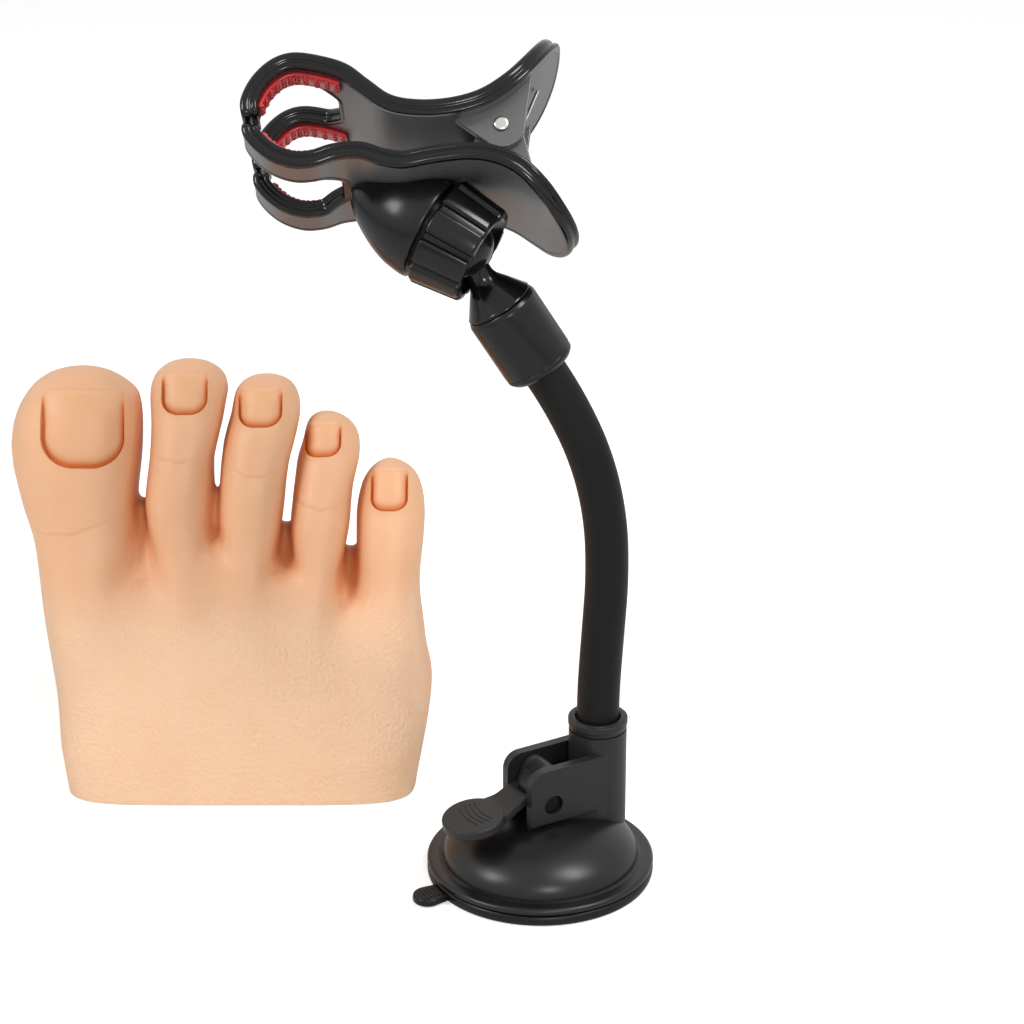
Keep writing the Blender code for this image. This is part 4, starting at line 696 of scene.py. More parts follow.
# Webs between the toes: left, right, height in front, height behind, and step back
WEB_SHARES = (
    (-0.330, -0.150, 0.470, 0.645, 0.04), (-0.140, 0.020, 0.560, 0.660, 0.01),
    (0.020, 0.190, 0.485, 0.580, 0.03), (0.165, 0.340, 0.370, 0.515, 0.08),
)
WEB_HEIGHT_SHARES = (0.15, 0.20, 0.25, 0.30, 0.35, 0.40, 0.45, 0.50, 0.55, 0.60)
WEB_FRONT_SHARES = (-0.37, -0.34, -0.31, -0.28, -0.23, -0.17, -0.105, -0.035, 0.025, 0.07)
WEB_LIP_SHARES = ((0.0, -0.12), (0.0, -0.04), (0.02, -0.010), (0.06, 0.005))
WEB_CREST_SHARES = ((0.24, -0.06), (0.32, -0.012), (0.38, 0.0), (0.44, -0.015), (0.48, -0.07))
WEB_FOOT_SHARE = 0.15
# Toes: height, left, right, front and back of each ring, big toe first
TOE_SHARES = (
    ((0.215, -0.462, -0.250, -0.262, 0.436), (0.385, -0.488, -0.261, -0.189, 0.537),
     (0.458, -0.495, -0.270, -0.139, 0.565), (0.520, -0.500, -0.264, -0.074, 0.589),
     (0.559, -0.505, -0.260, -0.032, 0.602), (0.599, -0.516, -0.258, 0.007, 0.614),
     (0.646, -0.532, -0.257, 0.041, 0.638), (0.694, -0.543, -0.252, 0.061, 0.671),
     (0.744, -0.553, -0.245, 0.079, 0.692), (0.792, -0.557, -0.241, 0.110, 0.709),
     (0.837, -0.551, -0.240, 0.149, 0.720), (0.874, -0.539, -0.242, 0.185, 0.720),
     (0.904, -0.521, -0.247, 0.223, 0.703), (0.927, -0.502, -0.273, 0.267, 0.682),
     (0.946, -0.476, -0.300, 0.318, 0.642), (0.961, -0.441, -0.331, 0.383, 0.581),
     (0.968, -0.405, -0.360, 0.430, 0.540)),
    ((0.373, -0.199, -0.078, -0.238, 0.376), (0.451, -0.200, -0.076, -0.139, 0.433),
     (0.503, -0.205, -0.075, -0.061, 0.451), (0.542, -0.214, -0.073, -0.007, 0.459),
     (0.580, -0.225, -0.071, 0.034, 0.474), (0.620, -0.232, -0.069, 0.055, 0.490),
     (0.662, -0.235, -0.068, 0.063, 0.508), (0.712, -0.229, -0.068, 0.074, 0.534),
     (0.760, -0.222, -0.068, 0.107, 0.567), (0.805, -0.219, -0.058, 0.151, 0.611),
     (0.846, -0.218, -0.047, 0.201, 0.656), (0.885, -0.221, -0.040, 0.252, 0.684),
     (0.915, -0.222, -0.033, 0.292, 0.687), (0.941, -0.215, -0.038, 0.328, 0.674),
     (0.959, -0.202, -0.051, 0.366, 0.643), (0.975, -0.180, -0.075, 0.413, 0.606),
     (0.984, -0.154, -0.102, 0.460, 0.560)),
    ((0.351, -0.047, 0.073, -0.258, 0.372), (0.448, -0.047, 0.071, -0.138, 0.437),
     (0.501, -0.047, 0.075, -0.064, 0.453), (0.540, -0.049, 0.081, -0.018, 0.461),
     (0.580, -0.053, 0.090, 0.015, 0.474), (0.620, -0.060, 0.096, 0.038, 0.488),
     (0.662, -0.058, 0.101, 0.052, 0.503), (0.711, -0.054, 0.106, 0.073, 0.533),
     (0.757, -0.050, 0.113, 0.115, 0.575), (0.792, -0.046, 0.124, 0.161, 0.615),
     (0.824, -0.038, 0.132, 0.207, 0.649), (0.856, -0.028, 0.139, 0.256, 0.670),
     (0.883, -0.023, 0.138, 0.292, 0.669), (0.909, -0.018, 0.132, 0.324, 0.653),
     (0.929, -0.003, 0.117, 0.366, 0.621), (0.940, 0.014, 0.097, 0.407, 0.583),
     (0.945, 0.036, 0.071, 0.430, 0.560)),
    ((0.272, 0.131, 0.212, -0.284, 0.362), (0.387, 0.136, 0.218, -0.166, 0.430),
     (0.441, 0.137, 0.224, -0.093, 0.442), (0.487, 0.130, 0.232, -0.032, 0.457),
     (0.526, 0.120, 0.243, 0.005, 0.475), (0.565, 0.114, 0.251, 0.035, 0.495),
     (0.605, 0.112, 0.257, 0.057, 0.517), (0.644, 0.117, 0.259, 0.089, 0.549),
     (0.681, 0.121, 0.263, 0.128, 0.585), (0.714, 0.125, 0.271, 0.175, 0.622),
     (0.748, 0.130, 0.280, 0.226, 0.639), (0.776, 0.140, 0.281, 0.272, 0.640),
     (0.802, 0.147, 0.277, 0.305, 0.627), (0.824, 0.151, 0.263, 0.340, 0.604),
     (0.842, 0.162, 0.240, 0.383, 0.567), (0.852, 0.181, 0.219, 0.420, 0.530)),
    ((0.155, 0.263, 0.419, -0.266, 0.347), (0.262, 0.270, 0.439, -0.205, 0.420),
     (0.341, 0.269, 0.440, -0.127, 0.453), (0.405, 0.269, 0.427, -0.066, 0.465),
     (0.461, 0.272, 0.425, -0.017, 0.481), (0.516, 0.270, 0.431, 0.027, 0.504),
     (0.571, 0.270, 0.436, 0.074, 0.536), (0.617, 0.271, 0.438, 0.122, 0.565),
     (0.656, 0.277, 0.434, 0.169, 0.570), (0.689, 0.286, 0.426, 0.213, 0.554),
     (0.714, 0.302, 0.411, 0.260, 0.523), (0.732, 0.321, 0.385, 0.310, 0.485),
     (0.741, 0.342, 0.365, 0.340, 0.460)),
)
# Nails: middle, width, and height of the cuticle and of the free edge
NAIL_SHARES = (
    (-0.372, 0.195, 0.777, 0.941), (-0.132, 0.110, 0.888, 0.970), (0.047, 0.106, 0.855, 0.934),
    (0.194, 0.089, 0.774, 0.843), (0.353, 0.089, 0.651, 0.734),
)
NAIL_CORNER_SHARE = 0.80
NAIL_RING_SHARES = ((1.0, 1.0), (0.86, 0.55), (0.55, 0.25), (0.0, 0.18))
# Creases over the toe joints: middle, height, half span, sag and slant
CREASE_SHARES = ((-0.398, 0.632, 0.105, 0.012, 0.020), (-0.152, 0.790, 0.058, 0.002, 0.000),
                 (0.030, 0.762, 0.060, 0.008, -0.004), (0.184, 0.672, 0.058, 0.006, -0.004))
# Waves of a crease across its half span, and their height
CREASE_WAVES = 9.0
CREASE_WAVE_SHARE = 0.0014
# Where the toes' roots run into the instep: weight rises, weight falls, and passes
ROOT_SMOOTHING = ((0.10, 0.24, 0.50, 0.66, 70), (0.10, 0.24, 0.42, 0.56, 180))
# Squareness of the body's outline by height: nearly square where the casting was cut
BODY_SQUARENESS = ((0.0, 0.1, 0.2, 0.3, 0.4), (6.0, 5.0, 3.8, 3.0, 2.7))
TOE_SQUARENESS = 2.3


# The foot


def oval(left: float, right: float, front: float, back: float, squareness: float, sides: int) -> Outline:
    """Points round an oval between four limits, squarer as the exponent grows."""
    points = []
    for step in range(sides):
        angle = 2 * math.pi * step / sides
        across = math.copysign(abs(math.cos(angle)) ** (2 / squareness), math.cos(angle))
        deep = math.copysign(abs(math.sin(angle)) ** (2 / squareness), math.sin(angle))
        points.append(((left + right) / 2 + across * (right - left) / 2,
                       (front + back) / 2 + deep * (back - front) / 2))
    return points


def table_value(place: float, places: Sequence[float], values: Sequence[float]) -> float:
    """A value read off a table by straight lines."""
    if place <= places[0]:
        return values[0]
    for index in range(1, len(places)):
        if place <= places[index]:
            share = (place - places[index - 1]) / (places[index] - places[index - 1])
            return values[index - 1] + share * (values[index] - values[index - 1])
    return values[-1]


def eased(value: float, start: float, end: float) -> float:
    """0 before start, 1 after end, and a smooth rise between."""
    share = min(max((value - start) / (end - start), 0.0), 1.0)
    return share * share * (3 - 2 * share)


@dataclass(frozen=True)
class NailFrame:
    """Where one nail bed lies: its cuticle point, axes, half width, length and corner."""

    root: Vector
    across: Vector
    up: Vector
    out: Vector
    half: float
    length: float
    corner: float

    def local(self, point: Vector) -> tuple[float, float, float]:
        """A point's place across, along and out of the nail."""
        way = point - self.root
        return way.dot(self.across), way.dot(self.up), way.dot(self.out)

    def inside(self, x: float, y: float) -> float:
        """How far a place lies inside the bed's U outline; negative outside."""
        flat = self.half - self.corner
        if y >= self.corner:
            return self.half - abs(x)
        if abs(x) <= flat:
            return min(y, self.half - abs(x)) if y < 0 else min(self.half - abs(x), y)
        return self.corner - math.hypot(abs(x) - flat, y - self.corner)


@dataclass
class PracticeFoot:
    """The soft silicone foot: one skin over instep and toes, with beds for nail tips."""

    finishes: Finishes
    width: float = 118.0 * MM
    height: float = 115.0 * MM
    depth: float = 54.0 * MM
    voxel: float = 0.80 * MM
    smoothing: int = 16
    bed_depth: float = 1.9 * MM
    fold_rise: float = 0.38 * MM
    edge_rise: float = 0.50 * MM
    edge_sag: float = 0.6 * MM
    crease_depth: float = 0.20 * MM
    crease_width: float = 0.42 * MM
    reach: float = 24 * MM
    nail_bands: tuple[float, float] = (1.6 * MM, 0.8 * MM)
    fold_width: float = 1.1 * MM
    fold_wave: float = 1.3 * MM
    cleft_rays: int = 14
    cleft_lift: float = 0.4 * MM
    # Painted shade in the skin's colour: span of the shut-in share, and weights of shut-in, bed fold and
    # crease.
    painted_shade_span: tuple[float, float] = (0.12, 0.60)
    painted_shade_weights: tuple[float, float, float] = (0.62, 0.85, 0.18)
    grain_least: float = 0.12
    grain_top: float = 60 * MM
    grain_fade: float = 18 * MM
    nails: list[NailFrame] = field(default_factory=list)

    def scaled(self, across: float, deep: float, height: float) -> Point:
        """A place given as shares, in metres."""
        return (across * self.width, deep * self.depth, height * self.height)

    def solid(self, edit: bmesh.types.BMesh, rings: list[list[Point]]) -> None:
        """Add one closed loft of equally long rings."""
        sides = len(rings[0])
        verts = [[edit.verts.new(point) for point in ring] for ring in rings]
        edit.faces.new(list(reversed(verts[0])))
        edit.faces.new(verts[-1])
        for low, high in zip(verts, verts[1:]):
            for step in range(sides):
                after = (step + 1) % sides
                edit.faces.new([low[step], low[after], high[after], high[step]])

    @staticmethod
    def soften(carrier: bpy.types.Object, name: str, passes: int) -> bpy.types.Modifier:
        """Smooth an object's mesh so many times."""
        change = carrier.modifiers.new(name, "SMOOTH")
        change.factor = 0.6
        change.iterations = passes
        return change

    def blank(self) -> bpy.types.Mesh:
        """Instep, toes and the pads behind the gaps, melted into one smooth skin."""
        edit = bmesh.new()
        top = BODY_SHARES[-1][0]
        rings = []
        for height, left, right, front, back in BODY_SHARES:
            ring = []
            square = table_value(height, *BODY_SQUARENESS)
            for across, deep in oval(left, right, front, back, square, 96):
                dip = table_value(across, INSTEP_PLACE_SHARES, INSTEP_HEIGHT_SHARES)
                lowered = height * (1 - (1 - dip) * max(height, 0) / top)
                ring.append(self.scaled(across, deep, lowered))
            rings.append(ring)
        self.solid(edit, rings)
        for toe in TOE_SHARES:
            self.solid(edit, [[self.scaled(across, deep, height)
                               for across, deep in oval(left, right, front, back, TOE_SQUARENESS, 48)]
                              for height, left, right, front, back in toe])
        for web in WEB_SHARES:
            self.solid(edit, self.web_rings(*web))
        bmesh.ops.recalc_face_normals(edit, faces=edit.faces)
        mesh = bpy.data.meshes.new("foot_blank")
        edit.to_mesh(mesh)
        edit.free()
        carrier = show("foot_blank", mesh)
        melt = carrier.modifiers.new("melt", "REMESH")
        melt.mode = "VOXEL"
        melt.voxel_size = self.voxel
        self.soften(carrier, "soften", self.smoothing)
        mesh = baked(carrier, "practice_foot_skin")
        carrier = show("foot_roots", mesh)
        for start, full, fall, end, passes in ROOT_SMOOTHING:
            group = carrier.vertex_groups.new(name=f"roots_{passes}")
            for vert in mesh.vertices:
                share = vert.co.z / self.height
                weight = eased(share, start, full) * (1 - eased(share, fall, end))
                if weight > 0:
                    group.add([vert.index], weight, "REPLACE")
            self.soften(carrier, group.name, passes).vertex_group = group.name
        return baked(carrier, "practice_foot_skin")

    def web_rings(self, left: float, right: float, low: float, high: float,
                  back: float) -> list[list[Point]]:
        """Skin between two toes: level with them in front, and a rounded pad behind.

        Args:
            left: left side, inside a toe.
            right: right side, inside the next toe.
            low: height of the front edge.
            high: height of the pad behind.
            back: how far the front edge stands back.

        Returns:
            Two rings across the foot.
        """
        outline = []
        for step, rise in WEB_LIP_SHARES:
            front = table_value(low + min(rise, 0.0), WEB_HEIGHT_SHARES, WEB_FRONT_SHARES)
            outline.append((front + back + step, low + rise))
        outline += [(deep, high + rise) for deep, rise in WEB_CREST_SHARES]
        outline += [(outline[-1][0], WEB_FOOT_SHARE), (outline[0][0], WEB_FOOT_SHARE)]
        return [[self.scaled(across, deep, height) for deep, height in outline] for across in (left, right)]

    def cut_flat(self, edit: bmesh.types.BMesh) -> None:
        """Cut the skin level with the floor and close the cut."""
        everything = edit.verts[:] + edit.edges[:] + edit.faces[:]
        cut = bmesh.ops.bisect_plane(edit, geom=everything, plane_co=(0, 0, 0), plane_no=(0, 0, -1),
                                     clear_outer=True)
        rim = [part for part in cut["geom_cut"] if isinstance(part, bmesh.types.BMEdge)]
        bmesh.ops.contextual_create(edit, geom=rim)

    def find_nails(self, skin: BVHTree) -> None:
        """Lay each nail's frame on the skin."""
        for middle, width, cuticle, edge in NAIL_SHARES:
            ends = [skin.ray_cast(Vector(self.scaled(middle, -1, height)), Vector((0, 1, 0)))[0]
                    for height in (cuticle, edge)]
            up = (ends[1] - ends[0]).normalized()
            across = Vector((1, 0, 0))
            half = width * self.width / 2
            self.nails.append(NailFrame(ends[0], across, up, across.cross(up), half,
                                        (ends[1] - ends[0]).length, half * NAIL_CORNER_SHARE))

    @staticmethod
    def refine(edit: bmesh.types.BMesh, near: list[bmesh.types.BMFace]) -> None:
        """Halve every edge of some faces."""
        edges = list({edge for face in near for edge in face.edges})
        bmesh.ops.subdivide_edges(edit, edges=edges, cuts=1, use_grid_fill=True)

    def refine_near_nails(self, edit: bmesh.types.BMesh, band: float) -> None:
        """Subdivide the faces near each bed's outline, where the fold is sharp."""
        near = []
        for face in edit.faces:
            middle = face.calc_center_median()
            for nail in self.nails:
                x, y, out = nail.local(middle)
                if abs(out) < nail.half and abs(x) < nail.half + band and -band < y < nail.length + band:
                    if abs(nail.inside(x, y)) < band or abs(y - nail.length) < band:
                        near.append(face)
                        break
        self.refine(edit, near)

    def refine_near_creases(self, edit: bmesh.types.BMesh) -> None:
        """Subdivide the faces that a crease runs over."""
        self.refine(edit, [face for face in edit.faces
                           if self.crease_at(face.calc_center_median(), face.normal, 2.2) > 0.1])

    def crease_at(self, point: Vector, normal: Vector, spread: float = 1.0) -> float:
        """How deep a toe's crease is at a place, as a share of its depth."""
        if normal.y > 0.2:
            return 0.0
        most = 0.0
        for middle, height, span, sag, slant in CREASE_SHARES:
            across = (point.x / self.width - middle) / span
            if abs(across) < 1:
                wave = CREASE_WAVE_SHARE * math.sin(CREASE_WAVES * across + 20 * middle)
                line = (height - sag * (1 - across * across) + slant * across + wave) * self.height
                off = (point.z - line) / (self.crease_width * spread)
                most = max(most, math.exp(-off * off) * (1 - abs(across) ** 3))
        return most

    def bed_offset(self, point: Vector) -> tuple[float, float, float]:
        """What a nail bed does at a place.

        Args:
            point: place on the plain skin.

        Returns:
            Sink along the nail's out direction, nail share and the painted shade round the bed.
        """
        for nail in self.nails:
            x, y, out = nail.local(point)
            if abs(out) > nail.half or abs(x) > nail.half * 1.5 or not -nail.half < y < nail.length * 1.3:
                continue
            inside = nail.inside(x, y)
            edge = nail.length - self.edge_sag * (1 - min(1.0, (x / nail.half) ** 2))
            rise = min(1.0, max(0.0, (edge - y) / nail.corner))
            step = eased(inside, -0.10 * MM, 0.25 * MM)
            shares, depths = zip(*((1 - size, deep) for size, deep in NAIL_RING_SHARES))
            profile = table_value(inside / nail.half, shares, depths)
            sink = self.bed_depth * profile * rise * step
            if inside < 0:
                uneven = 1 + 0.3 * math.sin(y / self.fold_wave) * math.cos(x / self.fold_width)
                fold = self.fold_rise * uneven * math.exp(-(inside / self.fold_width) ** 2)
                sink -= fold * eased(edge - y, -0.5 * MM, 1.5 * MM)
            ridge = math.exp(-((y - edge - 0.4 * MM) / (0.8 * MM)) ** 2)
            sink -= self.edge_rise * ridge * eased(inside, 0.0, 1.2 * MM)
            # Painted shade round each bed: darkest just inside its outline, where the recess is deep, and
            # widest at the cuticle.
            spread = (2.3 - 1.4 * eased(y, 0.0, nail.corner)) * MM if inside > 0.2 * MM else 0.35 * MM
            dark = math.exp(-((inside - 0.2 * MM) / spread) ** 2) * eased(rise, 0.0, 0.5)
            shown = eased(inside, 0.0, 0.4 * MM) * eased(edge - y, -0.6 * MM, 0.6 * MM)
            return sink, shown, dark
        return 0.0, 0.0, 0.0

    def clefts(self, edit: bmesh.types.BMesh, skin: BVHTree) -> list[float]:
        """How shut in each point of the skin is, from rays sent out over it."""
        rays = []
        count = self.cleft_rays
        for index in range(count):
            height = (index + 0.5) / count
            turn = index * math.pi * (3 - math.sqrt(5))
            rays.append((math.sqrt(1 - height * height) * math.cos(turn),
                         math.sqrt(1 - height * height) * math.sin(turn), height))
        shut = []
        for vert in edit.verts:
            side = vert.normal.orthogonal().normalized()
            other = vert.normal.cross(side)
            start = vert.co + vert.normal * self.cleft_lift
            blocked = 0.0
            for x, y, z in rays:
                hit = skin.ray_cast(start, side * x + other * y + vert.normal * z, self.reach)
                if hit[0] is not None:
                    blocked += 1 - hit[3] / self.reach
            shut.append(blocked / count)
        return shut

    def build(self) -> None:
        """Make the foot and hand it to the frame."""
        mesh = self.blank()
        edit = bmesh.new()
        edit.from_mesh(mesh)
        self.cut_flat(edit)
        skin = BVHTree.FromBMesh(edit)
        self.find_nails(skin)
        for band in self.nail_bands:
            self.refine_near_nails(edit, band)
        self.refine_near_creases(edit)
        edit.normal_update()
        nail_layer = edit.verts.layers.float.new("nail")
        painted_shade_layer = edit.verts.layers.float.new("cleft")
        instep_layer = edit.verts.layers.float.new("instep")
        shut = self.clefts(edit, skin)
        moves = []
        for vert, closed in zip(edit.verts, shut):
            sink, shown, dark = self.bed_offset(vert.co)
            crease = self.crease_at(vert.co, vert.normal)
            vert[nail_layer] = shown
            # Painted shade: shut-in clefts, the beds' folds and the creases darken the skin's colour.
            painted_shade_masks = (eased(closed, *self.painted_shade_span), dark, crease)
            vert[painted_shade_layer] = min(1.0, sum(part * fold for part, fold in zip(self.painted_shade_weights, painted_shade_masks)))
            low = eased(self.grain_top - vert.co.z, 0.0, self.grain_fade)
            shown_grain = low * eased(-vert.normal.y, 0.1, 0.5)
            vert[instep_layer] = self.grain_least + (1 - self.grain_least) * shown_grain
            move = -vert.normal * crease * self.crease_depth
            if sink:
                nearest = min(self.nails, key=lambda nail: (nail.root - vert.co).length)
                move -= nearest.out * sink
            moves.append(move)
        for vert, move in zip(edit.verts, moves):
            vert.co += move
        bmesh.ops.triangulate(edit, faces=[face for face in edit.faces if len(face.verts) > 4])
        edit.to_mesh(mesh)
        edit.free()
        mesh.shade_smooth()
        mesh.set_sharp_from_angle(angle=math.radians(75))
        finished("practice_foot_skin", mesh, [self.finishes.skin], Body.FOOT.value, Slot.SKIN,
                 "practice_foot")


# The holder's frames


@dataclass(frozen=True)
class HolderFrames:
    """Where each sub-assembly of the holder stands, as in the CAD part."""

    place: Point = (84.0 * MM, -61.0 * MM, 0.0)
    turn: float = math.radians(210)
    post_offset: float = 17.8 * MM
    axle: tuple[float, float] = (0.3 * MM, 23.0 * MM)
    first_hinge: float = 49.2 * MM
    link: float = 17.0 * MM
    last_link: float = 50.4 * MM
    headings: tuple[float, ...] = (0.0, 3.5, 3.5, -2.5, -13.0, -24.5, -32.4)
    clip_tilt: float = math.radians(51.5)
    ball_in_clip: tuple[float, float] = (-10.9 * MM, -24.8 * MM)
    socket_slope: float = math.radians(-31)

    @property
    def base(self) -> Matrix:
        """The suction base."""
        return Matrix.Translation(self.place) @ Matrix.Rotation(self.turn, 4, "Z")

    @property
    def side(self) -> Matrix:
        """The lever's plane: x towards the thumb, y up."""
        return self.base @ Matrix.Rotation(math.pi / 2, 4, "X")

    @property
    def hinge(self) -> Matrix:
        """The lever's axle."""
        return self.side @ Matrix.Translation((*self.axle, 0.0))

    @property
    def arm(self) -> Matrix:
        """The foot of the gooseneck's post."""
        return Matrix.Translation(self.base @ Vector((-self.post_offset, 0, 0)))

    def hinges(self) -> list[Vector]:
        """The six hinges and the ball in the arm's plane."""
        places = [Vector((0.0, self.first_hinge))]
        for heading, length in zip(self.headings[1:], [self.link] * 5 + [self.last_link]):
            way = Vector((math.sin(math.radians(heading)), math.cos(math.radians(heading))))
            places.append(places[-1] + way * length)
        return places

    @property
    def ball(self) -> Matrix:
        """The ball's centre, with z down the arm."""
        x, z = self.hinges()[-1]
        turn = Matrix.Rotation(math.radians(self.headings[-1]) + math.pi, 4, "Y")
        return self.arm @ Matrix.Translation((x, 0, z)) @ turn

    @property
    def clip(self) -> Matrix:
        """The jaws' hinge pin: x along the jaws, y up, z along the pin."""
        x, z = self.hinges()[-1]
        tilt = Matrix.Rotation(self.clip_tilt, 4, "X")
        offset = tilt @ Vector((*self.ball_in_clip, 0))
        return self.arm @ Matrix.Translation((x - offset.x, -offset.y, z - offset.z)) @ tilt

    @property
    def socket(self) -> Matrix:
        """The ball socket, with z out of its mouth."""
        axis = Vector((math.cos(self.socket_slope), math.sin(self.socket_slope), 0))
        turn = Vector((0, 0, 1)).rotation_difference(axis).to_matrix().to_4x4()
        return self.clip @ Matrix.Translation((*self.ball_in_clip, 0)) @ turn


# Shapes that are joined, cut or repeated


class Cut(str, Enum):
    """How a mesh is put together with the one before it."""

    JOIN = "UNION"
    AWAY = "DIFFERENCE"


def prism(name: str, outline: Outline, low: float, high: float) -> bpy.types.Mesh:
    """Draw an outline in XY out along Z.

    Args:
        name: the mesh's name.
        outline: its corners.
        low: where the shape starts.
        high: where it ends.

    Returns:
        The closed mesh.
    """
    count = len(outline)
    points = [(x, y, low) for x, y in outline] + [(x, y, high) for x, y in outline]
    faces = [list(range(count)), list(range(count, 2 * count))]
    return mesh_from(name, points, faces + banded(count, 2, False))


def spun(name: str, profile: Outline, sides: int = 128) -> bpy.types.Mesh:
    """A mesh turned about Z from its outline."""
    return mesh_from(name, *turned(profile, sides), sharp=50.0)


def rod(name: str, radius: float, low: float, high: float, sides: int) -> bpy.types.Mesh:
    """A plain round bar along Z."""
    return spun(name, [(0.0, low), (radius, low), (radius, high), (0.0, high)], sides)


def moved(mesh: bpy.types.Mesh, matrix: Matrix) -> bpy.types.Mesh:
    """The same mesh, put in its place."""
    mesh.transform(matrix)
    return mesh


def rounded_edges(mesh: bpy.types.Mesh, width: float, sharp: float = 30.0, name: str = "",
                  miter: str = "MITER_SHARP") -> bpy.types.Mesh:
    """Round a mesh's sharp edges.

    Args:
        mesh: a closed mesh.
        width: width of the rounding.
        sharp: angle in degrees above which an edge is rounded.
        name: the rounded mesh's name, if it is a new one.
        miter: Blender's name of the pattern at outer corners.

    Returns:
        The rounded mesh.
    """
    carrier = show(mesh.name + "_carrier", mesh)
    edge = carrier.modifiers.new("rounding", "BEVEL")
    edge.width = width
    edge.segments = 3
    edge.limit_method = "ANGLE"
    edge.angle_limit = math.radians(sharp)
    edge.harden_normals = True
    edge.miter_outer = miter
    return baked(carrier, name or mesh.name)


def combined(name: str, first: bpy.types.Mesh, *steps: tuple[Cut, bpy.types.Mesh]) -> bpy.types.Mesh:
    """Join closed meshes to a first one, or cut them out of it, in order.

    Args:
        name: name of the result.
        first: the mesh to start from.
        steps: what to do, and with which mesh.

    Returns:
        The joined mesh.
    """
    carrier = show(name, first)
    others = []
    for operation, mesh in steps:
        others.append(show(name + "_tool", mesh))
        change = carrier.modifiers.new(operation.name, "BOOLEAN")
        change.operation = operation.value
        change.object = others[-1]
        change.solver = "EXACT"
    mesh = baked(carrier, name)
    for other in others:
        bpy.data.objects.remove(other, do_unlink=True)
    return evened(mesh, name)


def evened(mesh: bpy.types.Mesh, name: str) -> bpy.types.Mesh:
    """Shade a mesh by its faces' sizes, so that wide flat faces stay flat."""
    old = mesh.attributes.get("custom_normal")
    if old:
        mesh.attributes.remove(old)
    mesh.shade_smooth()
    mesh.set_sharp_from_angle(angle=math.radians(38))
    carrier = show(name, mesh)
    carrier.modifiers.new("even_normals", "WEIGHTED_NORMAL").keep_sharp = True
    return baked(carrier, name)


def gathered(name: str, meshes: Sequence[bpy.types.Mesh]) -> bpy.types.Mesh:
    """Several closed meshes kept side by side in one, with their own materials.

    Args:
        name: name of the result.
        meshes: the meshes.

    Returns:
        One mesh.
    """
    mesh = bpy.data.meshes.new(name)
    slots: list[bpy.types.Material | None] = []
    edit = bmesh.new()
    for part in meshes:
        offset = len(slots)
        slots += list(part.materials)
        start = len(edit.faces)
        edit.from_mesh(part)
        edit.faces.ensure_lookup_table()
        for face in edit.faces[start:]:
            face.material_index += offset
    edit.to_mesh(mesh)
    edit.free()
    for slot in slots:
        mesh.materials.append(slot)
    return mesh


def painted(mesh: bpy.types.Mesh, material: bpy.types.Material) -> bpy.types.Mesh:
    """The same mesh, all in one finish."""
    mesh.materials.clear()
    mesh.materials.append(material)
    for face in mesh.polygons:
        face.material_index = 0
    return mesh


def new_tree(name: str, sockets: dict[str, str]) -> tuple[bpy.types.NodeTree, bpy.types.Node]:
    """Start a Geometry Nodes tree.

    Args:
        name: the tree's name.
        sockets: kind of each named input.

    Returns:
        The tree and its input node.
    """
    tree = bpy.data.node_groups.new(name, "GeometryNodeTree")
    tree.interface.new_socket("Geometry", in_out="OUTPUT", socket_type="NodeSocketGeometry")
    tree.interface.new_socket("Geometry", in_out="INPUT", socket_type="NodeSocketGeometry")
    for title, kind in sockets.items():
        tree.interface.new_socket(title, in_out="INPUT", socket_type=kind)
    return tree, add_node(tree, "NodeGroupInput")


def close_tree(tree: bpy.types.NodeTree, shape: bpy.types.NodeSocket, inside: bpy.types.Node) -> None:
    """End a tree in smooth, real geometry with its material."""
    real = add_node(tree, "GeometryNodeRealizeInstances", None, {"Geometry": shape})
    smooth = add_node(tree, "GeometryNodeSetShadeSmooth", None, {"Geometry": real.outputs[0]})
    dressed = add_node(tree, "GeometryNodeSetMaterial", None,
                       {"Geometry": smooth.outputs[0], "Material": inside.outputs["Material"]})
    add_node(tree, "NodeGroupOutput", None, {"Geometry": dressed.outputs[0]})


